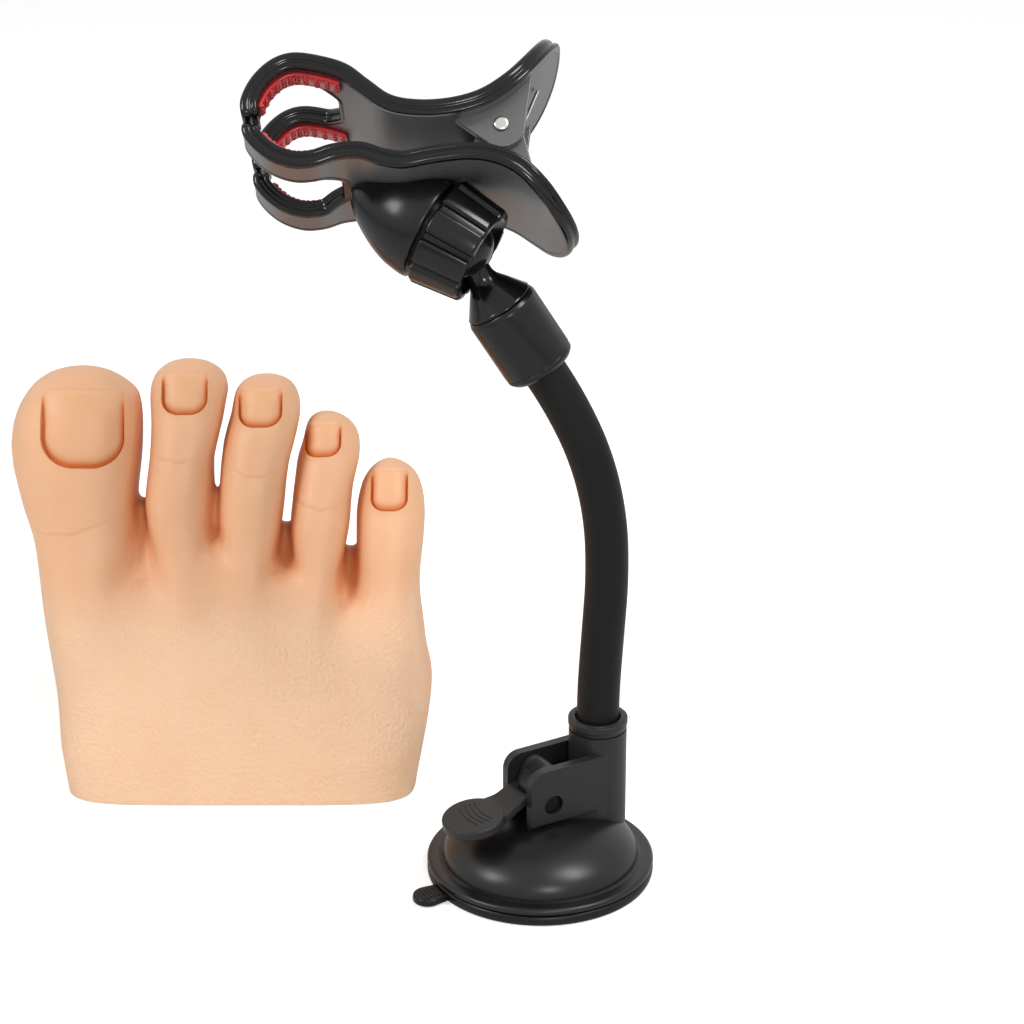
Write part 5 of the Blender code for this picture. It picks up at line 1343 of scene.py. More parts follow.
class Trees:
    """The Geometry Nodes trees: a swept wire or hose, a row of ribs, and studs on a pad."""

    def __init__(self) -> None:
        """Make the trees."""
        self.sweep = self.make_sweep()
        self.ribs = self.make_ribs()
        self.studs = self.make_studs()

    @staticmethod
    def make_sweep() -> bpy.types.NodeTree:
        """A round section swept along the edges of the mesh that carries the tree."""
        tree, inside = new_tree("swept_round", {"Radius": "NodeSocketFloat", "Sides": "NodeSocketInt",
                                                "Caps": "NodeSocketBool", "Material": "NodeSocketMaterial"})
        path = add_node(tree, "GeometryNodeMeshToCurve", None, {"Mesh": inside.outputs["Geometry"]})
        section = add_node(tree, "GeometryNodeCurvePrimitiveCircle", None,
                           {"Resolution": inside.outputs["Sides"], "Radius": inside.outputs["Radius"]})
        tube = add_node(tree, "GeometryNodeCurveToMesh", None,
                        {"Curve": path.outputs[0], "Profile Curve": section.outputs[0],
                         "Fill Caps": inside.outputs["Caps"]})
        close_tree(tree, tube.outputs[0], inside)
        return tree

    @staticmethod
    def make_ribs() -> bpy.types.NodeTree:
        """A row of round bars along X, each lying along Y."""
        tree, inside = new_tree("rib_row", {"Count": "NodeSocketInt", "Pitch": "NodeSocketFloat",
                                            "Length": "NodeSocketFloat", "Radius": "NodeSocketFloat",
                                            "Material": "NodeSocketMaterial"})
        step = add_node(tree, "ShaderNodeCombineXYZ", None, {"X": inside.outputs["Pitch"]})
        row = add_node(tree, "GeometryNodeMeshLine", None,
                       {"Count": inside.outputs["Count"], "Offset": step.outputs[0]})
        end = add_node(tree, "ShaderNodeCombineXYZ", None, {"Y": inside.outputs["Length"]})
        line = add_node(tree, "GeometryNodeCurvePrimitiveLine", None, {"End": end.outputs[0]})
        section = add_node(tree, "GeometryNodeCurvePrimitiveCircle", None,
                           {"Resolution": 16, "Radius": inside.outputs["Radius"]})
        bar = add_node(tree, "GeometryNodeCurveToMesh", None,
                       {"Curve": line.outputs[0], "Profile Curve": section.outputs[0], "Fill Caps": True})
        bars = add_node(tree, "GeometryNodeInstanceOnPoints", None,
                        {"Points": row.outputs[0], "Instance": bar.outputs[0]})
        close_tree(tree, bars.outputs[0], inside)
        return tree

    @staticmethod
    def make_studs() -> bpy.types.NodeTree:
        """A low dome on each point of the mesh that carries the tree, square to its faces."""
        tree, inside = new_tree("stud_field", {"Radius": "NodeSocketFloat", "Rise": "NodeSocketFloat",
                                               "Seed": "NodeSocketInt", "Material": "NodeSocketMaterial"})
        ball = add_node(tree, "GeometryNodeMeshUVSphere", None,
                        {"Segments": 10, "Rings": 6, "Radius": inside.outputs["Radius"]})
        normal = add_node(tree, "GeometryNodeInputNormal")
        turn = add_node(tree, "FunctionNodeAlignRotationToVector", {"axis": "Z"},
                        {"Vector": normal.outputs[0]})
        size = add_node(tree, "FunctionNodeRandomValue", {"data_type": "FLOAT"},
                        {2: 0.85, 3: 1.1, "Seed": inside.outputs["Seed"]})
        tall = maths(tree, "MULTIPLY", size.outputs[1], inside.outputs["Rise"])
        scale = add_node(tree, "ShaderNodeCombineXYZ", None,
                         {"X": size.outputs[1], "Y": size.outputs[1], "Z": tall})
        studs = add_node(tree, "GeometryNodeInstanceOnPoints", None,
                         {"Points": inside.outputs["Geometry"], "Instance": ball.outputs[0],
                          "Rotation": turn.outputs[0], "Scale": scale.outputs[0]})
        close_tree(tree, studs.outputs[0], inside)
        return tree

    def swept(self, name: str, route: Sequence[Vector], radius: float, sides: int,
              material: bpy.types.Material, caps: bool = True) -> bpy.types.Mesh:
        """Sweep a round section along a route.

        Args:
            name: the mesh's name.
            route: the points of its middle line.
            radius: of the section.
            sides: of the section.
            material: its finish.
            caps: whether its ends are closed.

        Returns:
            The swept mesh.
        """
        path = bpy.data.meshes.new(name + "_route")
        path.from_pydata([tuple(point) for point in route],
                         [(index, index + 1) for index in range(len(route) - 1)], [])
        mesh = run_tree(self.sweep, path, name, {"Radius": radius, "Sides": sides, "Caps": caps,
                                                 "Material": material})
        mesh.set_sharp_from_angle(angle=math.radians(50))
        return mesh


# Suction base


@dataclass
class SuctionBase:
    """The suction cup, its domed housing with post and cheeks, and the locking lever."""

    finishes: Finishes
    frames: HolderFrames
    trees: Trees
    radius: float = 30.5 * MM
    pad_height: float = 2.8 * MM
    seal_width: float = 8.0 * MM
    rim_width: float = 4.0 * MM
    cup_lift: float = 2.2 * MM
    cup_web: float = 1.6 * MM
    cup_boss: float = 3.8 * MM
    cup_top: float = 7.0 * MM
    tab_reach: float = 38.6 * MM
    tab_width: float = 8.0 * MM
    tab_thickness: float = 2.0 * MM
    tab_ribs: int = 6
    rib_pitch: float = 1.05 * MM
    rib_radius: float = 0.32 * MM
    ring_thickness: float = 1.8 * MM
    dome_radius: float = 26.4 * MM
    dome_rise: float = 12.4 * MM
    wall: float = 2.2 * MM
    edge_radius: float = 0.5 * MM
    rod_hole: float = 2.6 * MM
    post_radius: float = 7.8 * MM
    post_top: float = 38.3 * MM
    bore_radius: float = 6.0 * MM
    bore_depth: float = 13.0 * MM
    collar_radius: float = 8.0 * MM
    collar_height: float = 3.4 * MM
    spread: float = 15.3 * MM
    cheek: float = 2.6 * MM
    cheek_reach: float = 7.2 * MM
    cheek_top: float = 33.6 * MM
    cheek_corner: float = 4.4 * MM
    cheek_foot: float = 18.0 * MM
    undercut: float = 1.2 * MM
    undercut_run: float = 7.0 * MM
    axle_hole: float = 2.75 * MM
    lever_bore: float = 1.5 * MM
    lever_width: float = 9.2 * MM
    lever_thickness: float = 2.4 * MM
    lever_rise: float = 9.6 * MM
    lobe_place: tuple[float, float] = (-0.6 * MM, 6.0 * MM)
    lobe_radius: float = 3.6 * MM
    hub_radius: float = 4.5 * MM
    hub_gap: float = 4.6 * MM
    cam_radius: float = 3.4 * MM
    cam_throw: float = 1.3 * MM
    cam_angle: float = math.radians(145)
    thumb_radius: float = 8.5 * MM
    thumb_thickness: float = 3.0 * MM
    thumb_top: float = 1.2 * MM
    lever_flare: float = 5.6 * MM
    flare_span: tuple[float, float] = (9.6 * MM, 14.0 * MM)
    brow_radius: float = 6.1 * MM
    yoke_radius: float = 4.95 * MM
    thumb_place: tuple[float, float] = (20.6 * MM, 20.8 * MM)
    thumb_tilt: float = math.radians(8)
    grooves: int = 4
    groove_width: float = 0.32 * MM
    groove_pitch: float = 1.5 * MM
    groove_depth: float = 0.16 * MM

    def pad(self) -> None:
        """The rubber cup with its sealing rim and ribbed pull tab."""
        seal = self.radius - self.seal_width
        lift, web, boss, top = self.cup_lift, self.cup_web, self.cup_boss, self.cup_top
        under = [(seal * across, lift * high) for across, high in CUP_SHARES]
        over = [(across, high + web) for across, high in reversed(under[1:])]
        edge, thick = self.radius, self.pad_height
        profile = [*under, (seal, 0.0), (edge - GAP, 0.0), (edge, thick * 0.35), (edge, thick * 0.7),
                   (edge - 2 * GAP, thick), (edge - self.rim_width, thick), (seal, web), *over,
                   (boss, lift + web), (boss, top), (0.0, top)]
        cup = spun("cup", rounded(profile, 0.45 * MM, 3), 160)
        end = self.tab_reach - self.tab_width / 2
        start = self.radius - 2.0 * MM
        neck = self.tab_width * 0.40
        outline = [(start, -neck)] + arc((end, 0), self.tab_width / 2, -100, 100, 28) + [(start, neck)]
        tab = rounded_edges(prism("pull_tab", outline, GAP, GAP + self.tab_thickness), 0.55 * MM)
        ribs = run_tree(self.trees.ribs, bpy.data.meshes.new("rib_start"), "tab_ribs",
                        {"Count": self.tab_ribs, "Pitch": self.rib_pitch, "Length": self.tab_width * 0.62,
                         "Radius": self.rib_radius, "Material": self.finishes.rubber})
        moved(ribs, Matrix.Translation((self.radius + 0.9 * MM, -self.tab_width * 0.31,
                                        GAP + self.tab_thickness - 0.06 * MM)))
        mesh = combined("suction_pad_finished", cup, (Cut.JOIN, tab), (Cut.JOIN, ribs))
        mesh = painted(moved(mesh, self.frames.base), self.finishes.rubber)
        bending("suction_pad_finished", mesh, (Body.BASE.value, Body.PULL_ROD.value),
                "suction_pad")

    def dome(self, shrink: float, steps: int) -> Outline:
        """Quarter of the dome's outline, from its foot to its top."""
        radius, rise = self.dome_radius - shrink, self.dome_rise - shrink
        foot = self.pad_height + GAP + self.ring_thickness
        angles = [math.pi / 2 * step / steps for step in range(steps + 1)]
        return [(radius * math.cos(angle), foot + rise * math.sin(angle)) for angle in angles]

    def cheek_outline(self) -> Outline:
        """Side view of a cheek, from inside the post to its rounded front corner."""
        corner = (self.cheek_reach - self.cheek_corner, self.cheek_top - self.cheek_corner)
        back = -self.frames.post_offset
        return ([(back, self.dome_rise), (self.cheek_reach, self.dome_rise)]
                + arc(corner, self.cheek_corner, 0, 90, 16) + [(back, self.cheek_top)])

    def housing(self) -> None:
        """Rim ring, dome, post and cheeks in one moulding."""
        low = self.pad_height + GAP
        high = low + self.ring_thickness
        edge = rounded([(0.0, low), (self.radius - 2 * GAP, low), (self.radius, low + GAP),
                        (self.radius, high - 2 * GAP), (self.radius - 2 * GAP, high),
                        (self.radius - 3.3 * MM, high), (self.dome_radius, high + GAP)], 0.35 * MM, 3)
        shell = spun("dome", edge + self.dome(0.0, 40)[1:], 160)
        upright = Matrix.Rotation(math.pi / 2, 4, "X")
        back = Matrix.Translation((-self.frames.post_offset, 0, 0))
        post = rod("post", self.post_radius, self.dome_rise / 2, self.post_top, 96)
        outer = self.spread / 2
        cheeks = []
        for sign in (1, -1):
            limits = sorted((sign * outer, sign * (outer - self.cheek)))
            cheeks.append(moved(prism("cheek", self.cheek_outline(), *limits), upright))
        hole = moved(rod("axle_hole", self.axle_hole, -self.spread, self.spread, 64),
                     upright @ Matrix.Translation((*self.frames.axle, 0)))
        far = self.cheek_reach + self.undercut
        near = self.post_radius * 0.6 - self.frames.post_offset
        inner, beyond = outer - self.undercut, outer + self.wall
        shape = [(near, outer), (near + self.undercut_run, inner), (far, inner), (far, beyond),
                 (near, beyond)]
        below = [prism("undercut", [(x, sign * y) for x, y in shape], 0.0, self.cheek_foot)
                 for sign in (1, -1)]
        tower = combined("tower", moved(post, back), (Cut.JOIN, cheeks[0]), (Cut.JOIN, cheeks[1]),
                         (Cut.AWAY, hole), (Cut.AWAY, below[0]), (Cut.AWAY, below[1]))
        tower = rounded_edges(tower, self.edge_radius)
        mouth = self.dome_radius + GAP * 3
        hollow = [(0.0, -GAP), (mouth, -GAP), (mouth, low + GAP * 3)] + self.dome(self.wall, 16)
        cavity = spun("hollow", hollow, 96)
        passage = rod("rod_hole", self.rod_hole, self.dome_rise / 2, self.frames.axle[1], 48)
        bore = rod("bore", self.bore_radius, self.post_top - self.bore_depth, self.post_top + self.wall, 96)
        mesh = combined("base_housing_finished", shell, (Cut.JOIN, tower), (Cut.AWAY, cavity),
                        (Cut.AWAY, passage), (Cut.AWAY, moved(bore, back)))
        painted(mesh, self.finishes.satin).materials.append(self.finishes.shell)
        for face in mesh.polygons:
            spot = face.center
            flat = math.hypot(spot.x, spot.y) / self.dome_radius
            tall = max(0.0, spot.z - high) / self.dome_rise
            face.material_index = int(math.hypot(flat, tall) < 1.01 or spot.z < high + GAP)
        finished("base_housing_finished", moved(mesh, self.frames.base), [],
                 Body.BASE.value, Slot.SATIN, "base_housing")

    def collar(self) -> None:
        """Ring that closes the post round the sleeve, with a lip above its seam."""
        low = self.post_top + GAP
        high = low + self.collar_height
        inside = self.bore_radius
        step = low + 1.1 * MM
        wide = self.collar_radius
        profile = [(inside, low), (wide - GAP, low), (wide - GAP, step), (wide, step + GAP / 2),
                   (wide, high - 1.5 * GAP), (wide - GAP / 2, high - GAP), (wide - 2 * GAP, high - GAP),
                   (wide - 2.3 * GAP, high), (inside + GAP, high), (inside, high - GAP)]
        profile = rounded(profile, 0.12 * MM, 2)
        mesh = moved(evened(spun("post_collar_finished", profile, 128), "post_collar_finished"),
                     self.frames.base @ Matrix.Translation((-self.frames.post_offset, 0, 0)))
        finished("post_collar_finished", mesh, [self.finishes.satin], Body.BASE.value, Slot.SATIN,
                 "post_collar")

    def lever(self) -> None:
        """Lever: bowed arm, forked hub with its eccentric, and a thumb disc with grooves."""
        half = self.lever_width / 2
        reach = self.thumb_place[0] - self.frames.axle[0]
        knots = [(x * reach, z * self.lever_rise) for x, z in LEVER_ARM_SHARES]
        line = Line(knots, 10)
        points = []
        stations = 49
        for step in range(stations):
            point, way = line.at(line.length * step / (stations - 1))
            normal = Vector((-way.y, way.x)) * self.lever_thickness / 2
            wide = half + (self.lever_flare - half) * eased(point.x, *self.flare_span)
            points += [(*(point + normal * sign), wide * side)
                       for sign, side in ((1, 1), (1, -1), (-1, -1), (-1, 1))]
        faces = [[0, 1, 2, 3], [4 * stations - 4 + corner for corner in (3, 2, 1, 0)]]
        arm = mesh_from("arm", points, faces + banded(4, stations, False))
        lobe = arc(self.lobe_place, self.lobe_radius, 5, 175, 24)
        cam = (self.cam_throw * math.cos(self.cam_angle), self.cam_throw * math.sin(self.cam_angle))
        brow = arc(cam, self.brow_radius, -4, 40, 12)
        root, thick = line.points[3], self.lever_thickness / 2
        web = [(0.0, root.y + thick), (root.x, root.y + thick), (root.x, root.y - thick), (0.0, -thick)]
        steps = []
        knuckle = hull(arc((0, 0), self.hub_radius, 0, 355, 71) + lobe + brow)
        for sign in (1, -1):
            limits = sorted((sign * half, sign * self.hub_gap / 2))
            steps.append((Cut.JOIN, rounded_edges(prism("knuckle", knuckle, *limits), 0.3 * MM)))
            steps.append((Cut.JOIN, prism("web", web, sign * half * 0.98, sign * self.hub_gap / 2)))
        inside = self.hub_gap / 2 + GAP
        steps.append((Cut.JOIN, prism("crown", lobe, -inside, inside)))
        front = brow + lobe[:13] + arc(cam, self.yoke_radius, 90, -4, 24)
        steps.append((Cut.JOIN, prism("front", front, -inside * 0.98, inside * 0.98)))
        steps.append((Cut.JOIN, prism("cam", arc(cam, self.cam_radius, 0, 355, 71), -inside, inside)))
        steps.append((Cut.JOIN, self.thumb_disc()))
        steps.append((Cut.AWAY, rod("bore", self.lever_bore, -2 * half, 2 * half, 48)))
        mesh = combined("lever_finished", rounded_edges(arm, self.edge_radius), *steps)
        finished("lever_finished", moved(mesh, self.frames.hinge), [self.finishes.satin],
                 Body.LEVER.value, Slot.SATIN, "lever")

    def thumb_disc(self) -> bpy.types.Mesh:
        """The round thumb rest, its edge rolled and its face cut by bowed grooves."""
        radius, thick = self.thumb_radius, self.thumb_thickness
        profile = rounded([(0.0, -thick), (radius - 2 * GAP, -thick), (radius, -thick + 2 * GAP),
                           (radius, -GAP), (radius - GAP, 0.0), (0.0, 0.0)], 0.25 * MM, 3)
        steps = []
        for index in range(self.grooves):
            middle = self.groove_pitch * (index - (self.grooves - 1) / 2)
            bow = radius * 1.6
            reach = 24 - 2 * abs(index - (self.grooves - 1) / 2)
            outer = arc((middle - bow, 0), bow + self.groove_width / 2, -reach, reach, 20)
            inner = arc((middle - bow, 0), bow - self.groove_width / 2, reach, -reach, 20)
            steps.append((Cut.AWAY, prism("groove", outer + inner, -self.groove_depth, thick)))
        disc = combined("thumb_disc", spun("thumb_disc", profile, 128), *steps)
        place = (self.thumb_place[0] - self.frames.axle[0],
                 self.thumb_place[1] - self.frames.axle[1] + self.thumb_top, 0)
        turn = Matrix.Rotation(-self.thumb_tilt, 4, "Z") @ Matrix.Rotation(-math.pi / 2, 4, "X")
        return moved(disc, Matrix.Translation(place) @ turn)

    def build(self) -> None:
        """Make the base and hand it to the frame."""
        self.pad()
        self.housing()
        self.collar()
        self.lever()
        finished("pull_rod_finished", bevelled("pull_rod", 0.15 * MM), [self.finishes.nylon],
                 Body.PULL_ROD.value, Slot.WHITE, "pull_rod")
        finished("lever_pin_finished", bevelled("lever_pin", 0.12 * MM), [self.finishes.oxide],
                 Body.BASE.value, Slot.STEEL, "lever_pin")


# Gooseneck


@dataclass
class Gooseneck:
    """The bendable arm: a soft sleeve over the core, and the ferrule that ends it."""

    finishes: Finishes
    frames: HolderFrames
    trees: Trees
    radius: float = 5.7 * MM
    wall: float = 1.0 * MM
    bore_floor: float = 25.3 * MM
    top: float = 20.5 * MM
    shoulder: float = 19.1 * MM
    ferrule_radius: float = 9.5 * MM
    ferrule_length: float = 20.2 * MM
    chamfer: float = 1.2 * MM
    spigot_radius: float = 7.0 * MM
    spigot_length: float = 7.5 * MM
    core_radius: float = 3.7 * MM

    def stretch(self, index: int) -> list[Vector]:
        """Middle line of the sleeve about one hinge, from mid-link to mid-link."""
        places = self.frames.hinges()
        half = self.frames.link / 2
        before = (places[index - 1] + places[index]) / 2 if index else places[0] - Vector((0.0, half))
        way = (places[index + 1] - places[index]).normalized()
        after = places[index] + way * half
        points = bowed(before, places[index], after, 24)
        return [self.frames.arm @ Vector((point.x, 0.0, point.y)) for point in points]

    def tube(self, name: str, route: Sequence[Vector]) -> bpy.types.Mesh:
        """A hollow length of sleeve along a route."""
        mesh = self.trees.swept(name, route, self.radius, 64, self.finishes.sleeve, caps=False)
        carrier = show(name + "_carrier", mesh)
        wall = carrier.modifiers.new("wall", "SOLIDIFY")
        wall.thickness = self.wall
        wall.offset = -1.0
        mesh = baked(carrier, name)
        mesh.set_sharp_from_angle(angle=math.radians(50))
        return mesh

    def sleeve(self) -> None:
        """The sleeve: a straight root, six bending stretches and a straight top."""
        places = self.frames.hinges()
        half = self.frames.link / 2
        arm = self.frames.arm
        root = [arm @ Vector((0, 0, self.bore_floor + GAP)), arm @ Vector((0, 0, places[0].y - half))]
        finished("sleeve_root", self.tube("sleeve_root", root), [], Body.BASE.value, Slot.SLEEVE,
                 "gooseneck_sleeve")
        way = (places[6] - places[5]).normalized()
        ends = [places[5] + way * half, places[5] + way * self.top]
        finished("sleeve_top", self.tube("sleeve_top", [arm @ Vector((end.x, 0, end.y)) for end in ends]), [],
                 Body.ARM_END.value, Slot.SLEEVE, "gooseneck_sleeve")
        bodies = ["base", "arm_1", "arm_2", "arm_3", "arm_4", "arm_5", "arm_end"]
        for index in range(6):
            name = "sleeve_bend_%d" % (index + 1)
            route = self.stretch(index)
            bending(name, self.tube(name, route), (bodies[index], bodies[index + 1]),
                    "gooseneck_sleeve")

    def ferrule(self) -> None:
        """Cap over the sleeve's end: a barrel with a seam line and a chamfered lip."""
        top = self.shoulder + GAP
        bottom = top + self.ferrule_length
        stop = self.frames.last_link - self.top - GAP
        web = top + self.spigot_length
        bore = self.radius + GAP
        core = self.core_radius + GAP
        seam = bottom - 2.6 * MM
        wide, spigot = self.ferrule_radius, self.spigot_radius + GAP
        groove, lip = wide - 0.25 * MM, wide - 0.1 * MM
        profile = [(spigot, top), (wide - self.chamfer / 2, top), (wide, top + self.chamfer), (wide, seam),
                   (groove, seam + 0.1 * MM), (groove, seam + 0.4 * MM), (lip, seam + 0.5 * MM),
                   (lip, bottom - self.chamfer), (wide - self.chamfer, bottom), (bore, bottom), (bore, stop),
                   (core, stop), (core, web + GAP), (spigot, web + GAP)]
        mesh = spun("ferrule_finished", rounded(profile, 0.35 * MM, 3), 160)
        finished("ferrule_finished", moved(mesh, self.frames.ball), [self.finishes.semi],
                 Body.ARM_END.value, Slot.SATIN, "ferrule")

    def build(self) -> None:
        """Make the arm and hand it to the frame."""
        self.sleeve()
        self.ferrule()
        for name in ["core_root", "core_end"] + ["core_link_%d" % (index + 1) for index in range(5)]:
            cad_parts[name].material_slots[0].material = self.finishes.wire


# Ball joint


@dataclass
class BallJoint:
    """Ball stud, bell and the clamping nut round the ball."""

    finishes: Finishes
    frames: HolderFrames
    ball: float = 9.0 * MM
    neck: float = 3.5 * MM
    shoulder: float = 19.1 * MM
    wide: float = 8.9 * MM
    spigot_radius: float = 7.0 * MM
    spigot_length: float = 7.5 * MM
    clearance: float = 0.3 * MM
    seat: float = 1.0 * MM
    bell_end: float = 7.4 * MM
    bell_radius: float = 14.0 * MM
    bell_root: float = 30.5 * MM
    roof_half: float = 46.0 * MM
    thread_radius: float = 11.1 * MM
    thread_reach: float = 2.0 * MM
    nut_back: float = 6.2 * MM
    nut_front: float = 7.3 * MM
    nut_back_radius: float = 14.5 * MM
    nut_front_radius: float = 12.8 * MM
    nut_grips: int = 10
    nut_roll: float = 0.9 * MM
    grip_span: tuple[float, float] = (3.0, 27.0)
    grip_crown: float = 0.10
    groove: float = 1.3 * MM
    lip: float = 4.5 * MM
    mouth: float = 10.8 * MM

    @staticmethod
    def sphere(radius: float, start: float, end: float, steps: int) -> Outline:
        """(radius, height) points on a sphere between two heights."""
        first, last = math.acos(start / radius), math.acos(end / radius)
        angles = [first + (last - first) * step / steps for step in range(steps + 1)]
        return [(radius * math.sin(angle), radius * math.cos(angle)) for angle in angles]

    def stud(self) -> None:
        """Ball, waisted neck and flared cone in one gloss moulding."""
        leave = math.degrees(math.asin(self.neck / self.ball))
        profile = [(0.0, -self.ball)]
        for step in range(1, 37):
            angle = math.radians(180 - (180 - leave) * step / 36)
            profile.append((self.ball * math.sin(angle), self.ball * math.cos(angle)))
        waist = (self.shoulder + self.ball) / 2
        cone = self.shoulder - waist
        knots = [(self.neck * across, waist + cone * along) for across, along in CONE_SHARES]
        knots.append((self.wide - GAP, self.shoulder - 2 * GAP))
        profile += [tuple(point) for point in Line(knots, 5).points]
        end = self.shoulder + self.spigot_length
        profile += [(self.wide, self.shoulder - GAP), (self.wide, self.shoulder),
                    (self.spigot_radius, self.shoulder), (self.spigot_radius, end), (0.0, end)]
        mesh = moved(spun("ball_stud_finished", profile, 128), self.frames.ball)
        finished("ball_stud_finished", mesh, [self.finishes.gloss], Body.ARM_END.value, Slot.GLOSS,
                 "ball_stud")

    def bell(self, roof: Outline) -> None:
        """The bell under the clip, cut to fit the lower shell.

        Args:
            roof: outline in the clip's plane of what the shell takes away.
        """
        length = self.bell_root - self.bell_end
        curve = Line([(share * self.bell_radius, -self.bell_end - place * length)
                      for place, share in BELL_SHARES], 6)
        cup = self.ball + self.clearance + self.seat + GAP
        bore = self.ball + self.clearance + GAP
        profile = self.sphere(cup, -cup, -math.sqrt(cup * cup - bore * bore), 24)
        thread = self.thread_radius
        profile += [(bore, self.thread_reach), (thread - GAP, self.thread_reach),
                    (thread, self.thread_reach - GAP), (thread, -self.bell_end),
                    (self.bell_radius * 0.955, -self.bell_end)]
        profile += [tuple(point) for point in curve.points[1:]] + [(0.0, -self.bell_root)]
        body = moved(spun("bell", profile, 160), self.frames.socket)
        cutter = moved(prism("shell_side", roof, -self.roof_half, self.roof_half), self.frames.clip)
        mesh = combined("socket_housing_finished", body, (Cut.AWAY, cutter))
        finished("socket_housing_finished", mesh, [self.finishes.semi], Body.CLIP.value, Slot.SATIN,
                 "socket_housing")

    def grip_ring(self, steps: int) -> list[tuple[float, float]]:
        """Angle and height share round the nut: broad grips with rolled edges."""
        ring = []
        for index in range(self.nut_grips * steps):
            turn = 360 * index / (self.nut_grips * steps)
            place = turn % (360 / self.nut_grips)
            first, last = self.grip_span
            high = eased(place, 0.0, first) * (1 - eased(place, last, last + first))
            crown = self.grip_crown * math.sin(math.pi * min(max((place - first) / (last - first), 0.0), 1.0))
            ring.append((math.radians(turn), high * (1 - self.grip_crown + crown)))
        return ring

    def nut(self) -> None:
        """The grip nut: tapered, with a rolled edge at both ends of each grip."""
        ring = self.grip_ring(30)
        taper = (self.nut_back_radius - self.nut_front_radius) / (self.nut_back + self.nut_front)
        reach = self.ball + self.clearance
        bore = self.thread_radius + GAP
        step = self.thread_reach + GAP
        angles = [math.pi / 2 * turn / 6 for turn in range(7)]
        rolls = [(self.nut_roll * (1 - math.cos(angle)), self.nut_roll * (1 - math.sin(angle)))
                 for angle in angles]
        stations = sorted(((self.nut_back_radius - taper * up - back, up - self.nut_back, 1.0)
                           for back, up in rolls), key=lambda place: place[1])
        stations += [(self.nut_front_radius + taper * down - back, self.nut_front - down, 1.0)
                     for back, down in rolls]
        stations.append((self.mouth, self.nut_front, 0.0))
        stations += [(*place, 0.0) for place in self.sphere(reach, self.lip, step, 12)]
        stations += [(bore, step, 0.0), (bore, -self.nut_back, 0.0)]
        points = []
        for radius, height, gripped in stations:
            for angle, high in ring:
                here = radius - self.groove * (1 - high) * gripped
                points.append((here * math.cos(angle), here * math.sin(angle), height))
        faces = banded(len(ring), len(stations), True)
        mesh = moved(mesh_from("ring_nut_finished", points, faces, 45.0), self.frames.socket)
        finished("ring_nut_finished", mesh, [self.finishes.gloss], Body.NUT.value, Slot.GLOSS, "ring_nut")

    def build(self, roof: Outline) -> None:
        """Make the joint and hand it to the frame.

        Args:
            roof: outline in the clip's plane of what the lower shell takes off the bell.
        """
        self.stud()
        self.bell(roof)
        self.nut()
        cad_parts["ball_seat"].material_slots[0].material = self.finishes.nylon


# Clip


@dataclass
class Jaw:
    """One shell of the clip: a bent plate inside a thick rim, forked, with two ears."""

    name: str
    shares: Sequence[tuple[float, float]]
    side: int
    ear_outside: float
    ear_radius: float
    ear_span: tuple[float, float]
    ear_turn: tuple[float, float]
    body: Body


